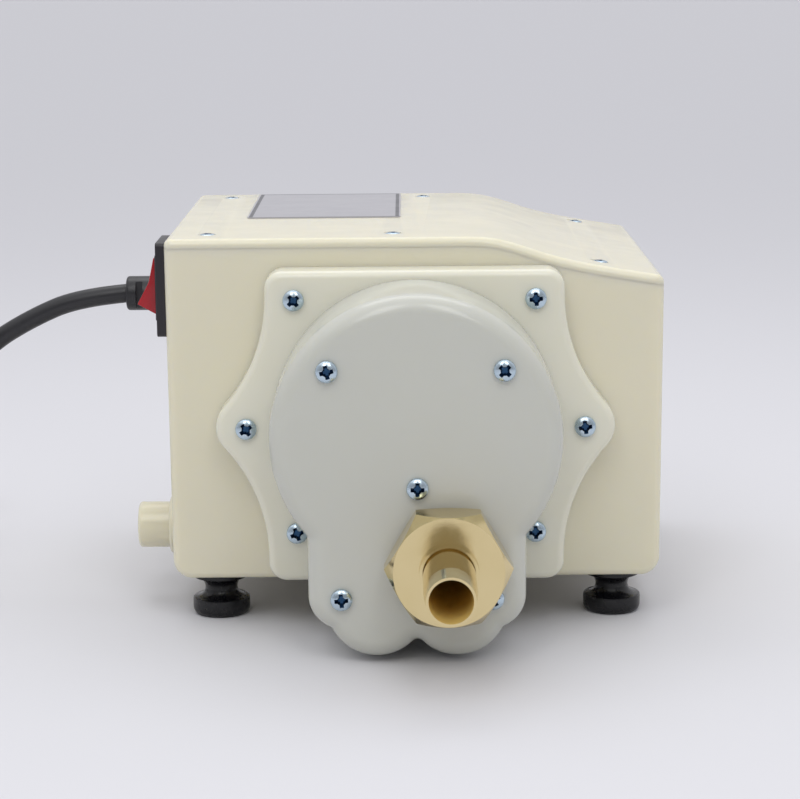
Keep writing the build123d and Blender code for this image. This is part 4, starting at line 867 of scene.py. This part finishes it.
@dataclass
class Nozzle:
    """The brass outlet: turned spout and collar, hexagon, and a bore with a duller wall whose brighter,
    mostly diffuse colour is painted light.

    Attributes:
        bore_r: Radius of the bore in millimetres.
        slack: How far a face of the bore may lie outside that radius.
        sharp_degrees: Angle between faces from which an edge stays crisp.
    """

    bore_r: float = 6.75
    slack: float = 0.1
    sharp_degrees: float = 20.0

    def build(self) -> None:
        """Builds the nozzle."""
        low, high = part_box("outlet_nozzle")
        centre = (low + high) / 2
        # Free-cutting brass, turned: pale gold and bright, with fine rings from the tool
        brass = Turned(
            "brass_turned", "#e2d0a2", "#d8c592", 14, 0.35, 0.004, 0.1, 0.16, metallic=1.0,
            centre=tuple(centre),
        )
        # The same brass as a drill leaves it, dull, with painted light: its colour is brighter and mostly
        # diffuse so that the bore looks lit
        bore_painted_light = Turned(
            "brass_drilled_painted_light", "#ecd080", "#e0c270", 8, 0.5, 0.02, 0.45, 0.6, metallic=0.15,
            centre=tuple(centre),
        )
        bm = merged_copy("outlet_nozzle", self.sharp_degrees)
        for face in bm.faces:
            spoke = face.calc_center_median() - centre
            spoke.y = 0
            # Faces inside the bore take the brass with painted light
            if spoke.length < (self.bore_r + self.slack) * MM and face.normal.dot(spoke) < 0:
                face.material_index = 1
        skin("outlet_nozzle", bm, [brass, bore_painted_light])


@dataclass
class Foot:
    """A rubber foot: a spool with a thin upper flange and a thick round base.

    Attributes:
        node: The node that it stands for.
        flange_r: Radius of the upper flange in millimetres.
        flange_t: Its thickness.
        neck_r: Radius of the neck.
        neck_z: Height of its narrowest place, which is also the middle of its curves.
        base_r: Radius of the base.
        base_z: Height of the base's upper edge.
        base_in: From the base's side to where the neck's curve begins.
        shoulder: Points of the base's rounded upper edge, inwards from its side and down from its top.
        sole_r: Radius of the sole.
        sole_h: Height of the rounding between sole and side.
        sole_degrees: Angle at which that rounding begins, 0 being the side.
        flange_in: The same as base_in at the flange, and the height of its edge's lower rounding.
        pocket_r: Radius of the pocket for the screw's head.
        pocket_z: Depth of that pocket.
        hole_r: Radius of the screw hole.
        sharp_degrees: Angle between faces from which an edge stays crisp.
    """

    node: str
    flange_r: float = 9.6
    flange_t: float = 2.4
    neck_r: float = 5.5
    neck_z: float = 9.2
    base_r: float = 9.75
    base_z: float = 6.0
    base_in: float = 0.5
    shoulder: tuple[Pair, ...] = ((0.0, 0.9), (0.14, 0.25))
    sole_r: float = 7.9
    sole_h: float = 2.4
    sole_degrees: float = -78.0
    flange_in: float = 0.2
    pocket_r: float = 4.1
    pocket_z: float = 4.8
    hole_r: float = 2.25
    sharp_degrees: float = 38.0

    def build(self) -> None:
        """Builds the foot."""
        low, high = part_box(self.node)
        top = (high.z - low.z) / MM
        lift = top - self.flange_t - self.neck_z
        sink = self.base_z - self.neck_z
        edge = self.base_r - self.base_in
        rim = self.flange_r - self.flange_in
        sole = (self.base_r - self.sole_r, self.sole_h)
        outline = [
            (self.pocket_r, 0), (self.sole_r, 0),
            *arc((self.sole_r, self.sole_h), sole, self.sole_degrees, 0, 9),
            *[(self.base_r - inwards, self.base_z - down) for inwards, down in self.shoulder],
            *arc((edge, self.neck_z), (edge - self.neck_r, -sink), 270, 180, 11),
            *arc((rim, self.neck_z), (rim - self.neck_r, lift), 180, 90, 11)[1:],
            (self.flange_r, top - self.flange_t + self.flange_in), (self.flange_r, top),
            (self.hole_r, top), (self.hole_r, self.pocket_z), (self.pocket_r, self.pocket_z),
            (self.pocket_r, 0),
        ]
        middle = (low + high) / 2
        bm = turned(outline, Matrix.Translation((middle.x, middle.y, low.z)))
        shade(bm, self.sharp_degrees)
        skin(self.node, bm, [RUBBER])


@dataclass
class StrainRelief:
    """The moulded sleeve round the lead, with slots that let it bend both ways.

    Attributes:
        outer_r: Radius of the sleeve in millimetres.
        flange_r: Radius of the flange on the wall.
        flange_t: Its thickness.
        chamfer: Of the flange's edge.
        nose: Rounding of the outer end.
        slots: Number of pairs of slots.
        slot_w: Width of a slot.
        slot_pitch: From one pair to the next.
        first_slot: Middle of the outermost pair, from the outer end.
        slot_block: Half the depth and half the length of the block that cuts a slot.
        core_r: Radius of what the slots leave standing.
        lead_r: Radius of the lead.
        mouth: Chamfer where the lead comes out.
        stem: Its thickness round the lead inside the casing, and the taper's length at its inner end.
    """

    outer_r: float = 6.0
    flange_r: float = 6.6
    flange_t: float = 2.0
    chamfer: float = 0.4
    nose: float = 1.1
    slots: int = 3
    slot_w: float = 2.4
    slot_pitch: float = 5.9
    first_slot: float = 4.7
    slot_block: Pair = (4.0, 5.0)
    core_r: float = 3.9
    lead_r: float = 3.3
    mouth: float = 0.3
    stem: Pair = (1.2, 1.0)

    def build(self) -> Object:
        """Builds the sleeve.

        Returns:
            The sleeve.
        """
        low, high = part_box("strain_relief")
        reach = (HOUSE_LOW.x - low.x) / MM
        inner = (HOUSE_LOW.x - high.x) / MM
        stem_t, taper = self.stem
        profile = [
            (0, inner), (self.lead_r, inner),
            (self.lead_r + stem_t, inner + taper), (self.lead_r + stem_t, 0),
            (self.flange_r, 0), (self.flange_r, self.flange_t - self.chamfer),
            (self.flange_r - self.chamfer, self.flange_t), (self.outer_r, self.flange_t),
            *arc((self.outer_r - self.nose, reach - self.nose), (self.nose, self.nose), 0, 90, 7),
            (self.lead_r + self.mouth, reach), (self.lead_r, reach - self.mouth), (0, reach - self.mouth),
        ]
        centre = (low + high) / 2
        wall = Vector((HOUSE_LOW.x, centre.y, centre.z))
        place = Matrix.Translation(wall) @ Matrix.Rotation(-math.pi / 2, 4, "Y")
        deep, long = self.slot_block
        tools = []
        for number in range(self.slots):
            x = low.x + (self.first_slot + number * self.slot_pitch) * MM
            sideways, upright = (AHEAD, UP) if number % 2 == 0 else (UP, AHEAD)
            half = ACROSS * self.slot_w / 2 + sideways * deep + upright * long
            for sign in (-1, 1):
                middle = Vector((x, centre.y, centre.z)) + sideways * sign * (self.core_r + deep) * MM
                tools.append((block(middle - half * MM, middle + half * MM), Joining.CUT))
        bm = joined(turned(profile, place, 56), tools)
        shade(bm)
        return skin("strain_relief", bm, [SHEATH, SHEATH])


@dataclass
class Switch:
    """The mains switch: a bezel with a moulded lip and a dished rocker.

    Attributes:
        bezel_t: Thickness of the bezel in millimetres.
        lip_h: Height of the lip round the window.
        lip_w: Its width.
        lip_r: Rounding of its corners.
        root: How far the lip and the body reach into the bezel.
        window: Depth and height of the window.
        ledge: Thickness of the bezel that is left over and under the pocket.
        pocket: How far the pocket goes in behind the wall.
        body: Depth and height of the body behind the wall.
        body_wall: Its wall over and under the pocket.
        over: How far the cutting shapes stand over the bezel.
        corner_r: Rounding of the bezel's corners.
        edge_r: Rounding of its edges.
        pivot_in: Rocker's pivot behind the bezel's face.
        rocker_d: Width of the rocker.
        rocker_r: Rounding of its edges.
        end_h: Height of the rocker's ends over its pivot.
        end_half: Reach of its ends from the pivot.
        dish: Depth of its face's middle below the ends.
        dish_half: Half the height of that middle, which is flat.
        skirt: Place of its sides' outer corners: behind the pivot, and up or down from it.
        heel: The same of its inner corners.
        crease_degrees: Angle between faces from which its edges are rounded.
        tilt: Degrees that it is pressed at rest.
    """

    bezel_t: float = 3.0
    lip_h: float = 0.8
    lip_w: float = 0.9
    lip_r: float = 1.0
    root: float = 1.0
    window: Pair = (12.0, 20.2)
    ledge: float = 0.3
    pocket: float = 6.0
    body: Pair = (13.1, 18.9)
    body_wall: float = 0.4
    over: float = 3.0
    corner_r: float = 1.4
    edge_r: float = 0.3
    pivot_in: float = 2.2
    rocker_d: float = 11.6
    rocker_r: float = 0.35
    end_h: float = 6.7
    end_half: float = 8.25
    dish: float = 1.1
    dish_half: float = 0.6
    skirt: Pair = (0.15, 9.35)
    heel: Pair = (1.4, 8.6)
    crease_degrees: float = 40.0
    tilt: float = 20.0

    def middle(self) -> Vector:
        """Gives the middle of the bezel on the casing's wall."""
        low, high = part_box("switch_frame")
        return Vector((HOUSE_LOW.x, (low.y + high.y) / 2, (low.z + high.z) / 2))

    def slab(self, inner: float, outer: float, depth: float, height: float) -> BMesh:
        """Makes a block on the wall.

        Args:
            inner: Its inner face, outwards from the wall's face.
            outer: Its outer face.
            depth: Its size along Y.
            height: Its size along Z.

        Returns:
            The block.
        """
        half = AHEAD * depth / 2 + UP * height / 2
        return block(
            self.middle() - (half + ACROSS * outer) * MM, self.middle() + (half - ACROSS * inner) * MM
        )

    def round_face(self, bm: BMesh, height: float) -> None:
        """Rounds the edges that lie more than a height in millimetres out from the wall."""
        edges = [e for e in bm.edges if all(v.co.x < HOUSE_LOW.x - height * MM for v in e.verts)]
        round_edges(bm, edges, self.edge_r, 3)

    def frame_piece(self) -> None:
        """Builds the bezel, its lip and the body behind it."""
        low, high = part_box("switch_frame")
        window_d, window_h = self.window
        bezel = self.slab(0, self.bezel_t, (high.y - low.y) / MM, (high.z - low.z) / MM)
        round_edges(bezel, along(bezel, ACROSS), self.corner_r, 6)
        self.round_face(bezel, self.bezel_t / 2)
        lip_d, lip_h = (size + 2 * self.lip_w for size in self.window)
        lip = self.slab(self.root, self.bezel_t + self.lip_h, lip_d, lip_h)
        round_edges(lip, along(lip, ACROSS), self.lip_r, 4)
        self.round_face(lip, self.bezel_t)
        body = self.slab((HOUSE_LOW.x - high.x) / MM, self.root, *self.body)
        top = self.bezel_t + self.over
        pocket_h = self.body[1] - 2 * self.body_wall
        tools = [
            (lip, Joining.FUSE),
            (body, Joining.FUSE),
            (self.slab(-self.pocket, top, window_d, pocket_h), Joining.CUT),
            (self.slab(self.ledge, top, window_d, window_h), Joining.CUT),
        ]
        bm = joined(bezel, tools)
        shade(bm)
        skin("switch_frame", bm, [NYLON_BLACK, NYLON_BLACK])

    def rocker_piece(self) -> None:
        """Builds the rocker."""
        pivot = self.middle() - ACROSS * (self.bezel_t - self.pivot_in) * MM
        end, dish = (-self.end_h, self.end_half), (self.dish - self.end_h, self.dish_half)
        half = [self.heel, self.skirt, end, dish]
        outline = [(x, -z) for x, z in half] + half[::-1]
        start = pivot - AHEAD * self.rocker_d / 2 * MM
        bm = drawn_out([start + (ACROSS * x + UP * z) * MM for x, z in outline], self.rocker_d * MM)
        creases = [e for e in bm.edges if e.calc_face_angle(0) > math.radians(self.crease_degrees)]
        round_edges(bm, creases, self.rocker_r, 4)
        press = Matrix.Rotation(math.radians(self.tilt), 3, "Y")
        bmesh.ops.rotate(bm, cent=pivot, matrix=press, verts=bm.verts)
        shade(bm)
        skin("switch_rocker", bm, [ROCKER_RED], "rocker")


@dataclass
class MainsLead:
    """The mains lead: a free arc to the floor, its coil, and the short end with the plug.

    Attributes:
        radius: Radius of the sheath in millimetres.
        centre: The coil's middle, right of the pump's middle and behind its front face.
        outer: Radius of the outermost turn.
        inner: Radius of the line's turn nearest to the coil's eye.
        turns: Number of turns.
        start_degrees: Where the lead enters the coil, seen from above.
        per_turn: Control points in one turn.
        climb: Share of a turn over which the lead climbs to the upper layer.
    """

    radius: float = 3.3
    centre: Pair = (-220.0, 108.0)
    outer: float = 42.9
    inner: float = 29.7
    turns: float = 5.15
    start_degrees: float = 235.0
    per_turn: int = 16
    climb: float = 0.5

    def route(self) -> list[Vector]:
        """Gives the control points of the lead's own line.

        Returns:
            Points in metres, from the strain relief to the plug.
        """
        points = [
            at(-100.5, 50, 105.9), at(-117.5, 50, 104.4), at(-134, 50, 97.5),
            at(-150, 50, 87.9), at(-163, 51.3, 72.3), at(-173.5, 52.5, 55.3), at(-183.5, 54, 37.4),
            at(-195, 54.6, 19.9), at(-211.2, 56.2, 8.1), at(-229.9, 62.6, 3.3),
        ]
        points += [self.coil_point(i / self.per_turn) for i in range(round(self.turns * self.per_turn) + 1)]
        points += [at(-263, 127, 9.3), at(-256.5, 148, 8.4), at(-241.5, 162, 7.7), at(-222, 168.5, 7.5)]
        return points

    def coil_point(self, turn: float) -> Vector:
        """Gives a point of the coil: inwards on the floor, then outwards on top of that layer.

        Args:
            turn: Turns from where the lead enters the coil.

        Returns:
            The point in metres.
        """
        pitch = 2 * self.radius
        half = self.turns / 2
        inward = min(turn, half) / half
        outward = max(turn - half, 0) / half
        radius = self.outer - (self.outer - self.inner) * (inward - outward)
        share = min(max((turn - half) / self.climb + 0.5, 0), 1)
        height = self.radius + pitch * share * share * (3 - 2 * share)
        angle = math.radians(self.start_degrees) - math.tau * turn
        x, back = self.centre
        return at(x + radius * math.cos(angle), back + radius * math.sin(angle), height)

    def build(self, with_pieces: Sequence[Object]) -> None:
        """Builds the lead as a smooth curve.

        Args:
            with_pieces: The separate pieces on it; not used.
        """
        curve = bpy.data.curves.new("mains_lead", "CURVE")
        curve.dimensions = "3D"
        curve.bevel_depth = self.radius * MM
        curve.bevel_resolution = 8
        curve.resolution_u = 10
        curve.use_fill_caps = True
        points = self.route()
        spline = curve.splines.new("NURBS")
        spline.points.add(len(points) - 1)
        for point, place in zip(spline.points, points):
            point.co = (*place, 1)
        spline.order_u = 3
        spline.use_endpoint_u = True
        curve.materials.append(SHEATH.material())
        made = placed("mains_lead", curve)
        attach(made, "root")
        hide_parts("power_cord", "cord_coil", "plug_lead")
        log.info("mains lead: %.3f m", spline.calc_length())


@dataclass
class Camera:
    """The photograph's point of view.

    Attributes:
        place: Right of the pump's middle, behind its front face and above the floor, in millimetres.
        yaw: Turn to the right in degrees.
        fall: Downward tilt in degrees.
        roll: Turn about the line of sight in degrees.
        focal_px: Focal length in pixels.
        image_px: Width of the photograph in pixels.
        sensor_mm: Width of the sensor.
        near: Nearest distance that it sees, in metres.
    """

    place: tuple[float, float, float] = (-3.0, -786.1, 224.8)
    yaw: float = -0.15
    fall: float = 10.68
    roll: float = -0.51
    focal_px: float = 2406.5
    image_px: float = 800.0
    sensor_mm: float = 36.0
    near: float = 0.01

    def build(self) -> None:
        """Builds the camera and makes it the scene's own."""
        yaw, fall, roll = (math.radians(a) for a in (self.yaw, self.fall, self.roll))
        ahead = Vector((math.sin(yaw) * math.cos(fall), math.cos(yaw) * math.cos(fall), -math.sin(fall)))
        right = Vector((math.cos(yaw), -math.sin(yaw), 0))
        up = right.cross(ahead)
        turned_right = math.cos(roll) * right + math.sin(roll) * up
        turned_up = math.cos(roll) * up - math.sin(roll) * right
        data = bpy.data.cameras.new("camera")
        data.sensor_width = self.sensor_mm
        data.sensor_fit = "HORIZONTAL"
        data.lens = self.focal_px / self.image_px * self.sensor_mm
        data.clip_start = self.near
        made = placed("camera", data)
        columns = Matrix((turned_right, turned_up, -ahead)).transposed()
        made.matrix_world = Matrix.Translation(at(*self.place)) @ columns.to_4x4()
        bpy.context.scene.camera = made


@dataclass
class Studio:
    """A pale ground without an edge, two lamps in front, one over the rear, and light all round.

    Attributes:
        ground: sRGB hex of the ground.
        ground_half: Half the ground's width in metres.
        ground_rough: Its roughness.
        ground_sheen: Strength of its reflections.
        lamp_power: Power of each front lamp in watts.
        lamp_x: Distance of the front lamps from the pump's middle in millimetres.
        lamp_back: Their place behind its front face, so that a negative value is in front.
        lamp_z: Their height.
        lamp_size: Their width and length in metres.
        top_power: Power of the lamp over the rear.
        top_place: Its place.
        top_size: Its width and length in metres.
        aim_z: Height that the lamps point at.
        sun: Strength of the soft light from above.
        sun_degrees: How wide it is.
        sun_turn: Its turns about X and Y in degrees.
        sky_colour: sRGB hex of the light from all round.
        sky_low: Light from the horizon.
        sky_high: Light from overhead.
        sky_front: Share of it that comes from the front.
        sky_rise: Upward parts of a direction between which it goes from low to high.
        sky_turn: Backward parts between which it goes from the front's share to its whole.
    """

    ground: str = "#dbdbdf"
    ground_half: float = 40.0
    ground_rough: float = 0.75
    ground_sheen: float = 0.15
    lamp_power: float = 0.9
    lamp_x: float = 190.0
    lamp_back: float = -600.0
    lamp_z: float = 700.0
    lamp_size: Pair = (0.22, 0.5)
    top_power: float = 1.25
    top_place: tuple[float, float, float] = (0.0, 330.0, 800.0)
    top_size: Pair = (0.7, 0.36)
    aim_z: float = 70.0
    sun: float = 0.5
    sun_degrees: float = 75.0
    sun_turn: Pair = (14.0, -10.0)
    sky_colour: str = "#f6f6fa"
    sky_low: float = 0.68
    sky_high: float = 0.9
    sky_front: float = 0.55
    sky_rise: Pair = (0.0, 0.9)
    sky_turn: Pair = (-0.9, 0.1)

    def build(self) -> None:
        """Builds the ground, the lamps and the even light."""
        bm = bmesh.new()
        bmesh.ops.create_grid(bm, x_segments=1, y_segments=1, size=self.ground_half)
        floor = placed("floor", to_mesh(bm, "floor"))
        surface = bpy.data.materials.new("studio_ground")
        surface.use_nodes = True
        shader = surface.node_tree.nodes["Principled BSDF"]
        shader.inputs["Base Color"].default_value = linear(self.ground)
        shader.inputs["Roughness"].default_value = self.ground_rough
        shader.inputs["Specular IOR Level"].default_value = self.ground_sheen
        floor.data.materials.append(surface)
        for name, side in (("lamp_left", -1), ("lamp_right", 1)):
            place = at(side * self.lamp_x, self.lamp_back, self.lamp_z)
            self.lamp(name, place, self.lamp_size, self.lamp_power)
        self.lamp("lamp_top", at(*self.top_place), self.top_size, self.top_power)
        sun = bpy.data.lights.new("soft_light", "SUN")
        sun.energy = self.sun
        sun.angle = math.radians(self.sun_degrees)
        about_x, about_y = self.sun_turn
        placed("soft_light", sun).rotation_euler = (math.radians(about_x), math.radians(about_y), 0)
        self.sky()
        bpy.context.scene.view_settings.view_transform = "Standard"

    def sky(self) -> None:
        """Builds the light from all round: brighter overhead, dimmer from the front."""
        world = bpy.data.worlds.new("even_light")
        world.use_nodes = True
        tree = world.node_tree
        tree.nodes.clear()
        way = add_node(tree, "ShaderNodeTexCoord").outputs["Generated"]
        parts = add_node(tree, "ShaderNodeSeparateXYZ", {"Vector": way})
        shares = [
            add_node(
                tree, "ShaderNodeMapRange",
                {"Value": parts.outputs[axis], "From Min": span[0], "From Max": span[1],
                 "To Min": low, "To Max": high},
            ).outputs[0]
            for axis, span, low, high in (
                ("Z", self.sky_rise, self.sky_low, self.sky_high), ("Y", self.sky_turn, self.sky_front, 1.0)
            )
        ]
        power = add_node(tree, "ShaderNodeMath", {0: shares[0], 1: shares[1]}, operation="MULTIPLY")
        glow = add_node(
            tree, "ShaderNodeBackground", {"Color": linear(self.sky_colour), "Strength": power.outputs[0]}
        )
        add_node(tree, "ShaderNodeOutputWorld", {"Surface": glow.outputs[0]})
        bpy.context.scene.world = world

    def lamp(self, name: str, place: Vector, size: Pair, power: float) -> None:
        """Adds one soft lamp that faces the pump.

        Args:
            name: Its name.
            place: Where it hangs.
            size: Its width and length in metres.
            power: Its power in watts.
        """
        data = bpy.data.lights.new(name, "AREA")
        data.shape = "RECTANGLE"
        data.size, data.size_y = size
        data.energy = power
        turn = (at(0, 0, self.aim_z) - place).to_track_quat("-Z", "Y")
        placed(name, data).matrix_world = Matrix.Translation(place) @ turn.to_matrix().to_4x4()


INNER_FINISHES = {
    CAST_ALLOY: ["diaphragm_disc_front", "diaphragm_disc_rear", "connecting_rod", "motor_bracket_left",
                 "motor_bracket_right"],
    GROUND_STEEL: ["rod_bearing", "motor_shaft", "eccentric_hub", "switch_terminals", "coil_terminals"],
    LAMINATION: ["stator_core", "rotor"],
    SINTERED: ["bearing_bush_left", "bearing_bush_right"],
    NYLON_NATURAL: ["coil_bobbin", "cooling_fan", "head_spigot"],
    ENAMEL: ["stator_coil"],
    SILICONE: ["inlet_hose"],
    NITRILE: ["cover_gasket", "diaphragm", "inlet_valve_disc", "outlet_valve_disc"],
    ACETAL: ["inlet_valve_guide", "outlet_valve_guide"],
    ZINC: ["motor_tie_screws", "motor_tie_nuts", "motor_foot_screws", "diaphragm_screw", "washer_screw",
           "bearing_washer", "inlet_retaining_ring", "hose_clips"],
    WIRE_BROWN: ["live_wire", "switched_wire"],
    WIRE_BLUE: ["neutral_wire"],
    FIBRE: ["nozzle_seal"],
}


def dress_inner_nodes() -> None:
    """Gives each inner node its finish."""
    for finish, nodes in INNER_FINISHES.items():
        for node in nodes:
            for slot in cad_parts[node].material_slots:
                slot.material = finish.material()


def main() -> None:
    """Builds the pump's pieces, then the studio."""
    logging.basicConfig(level=logging.INFO, format="%(message)s")
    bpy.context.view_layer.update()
    Camera().build()
    dress_inner_nodes()
    on_lead = [dressed("plug_body", SHEATH), dressed("plug_pins", NICKEL), StrainRelief().build()]
    MainsLead().build(on_lead)
    dressed("housing", CASING)
    Lid().build()
    dressed("inlet_port", CASING)
    dressed("front_plate", PLATE)
    dressed("head_cover", COVER)
    Nozzle().build()
    label_low, label_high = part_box("rating_plate")
    # Printed aluminium foil, bare apart from its border: pale grey with a soft metal sheen
    foil = Printed(
        "aluminium_foil_printed", "#b8b7bc", "#b1b0b6", 30, 0.3, 0.002, 0.3, 0.38, metallic=0.35, ior=1.45,
        low=tuple(label_low)[:2], high=tuple(label_high)[:2],
    )
    dressed("rating_plate", foil)
    for end in ("front", "rear"):
        for side in ("left", "right"):
            Foot(f"foot_{end}_{side}").build()
    switch = Switch()
    switch.frame_piece()
    switch.rocker_piece()
    CrossScrews("plate_screws", Facing.FRONT, (20, 3, 35, 8, 40, 5)).build()
    CrossScrews("cover_screws", Facing.FRONT, (5, 30, 0, 12, 48)).build()
    CrossScrews("foot_screws", Facing.DOWN, (10, 55, 30, 75)).build()
    CrossScrews(
        "lid_screws", Facing.UP, (15, 50, 80, 30, 5, 65), head_r=2.7, head_h=1.3, shank_r=1.5, recess_w=1.0,
        recess_r=1.9, recess_d=1.0,
    ).build()
    Studio().build()


if __name__ == "__main__":
    main()
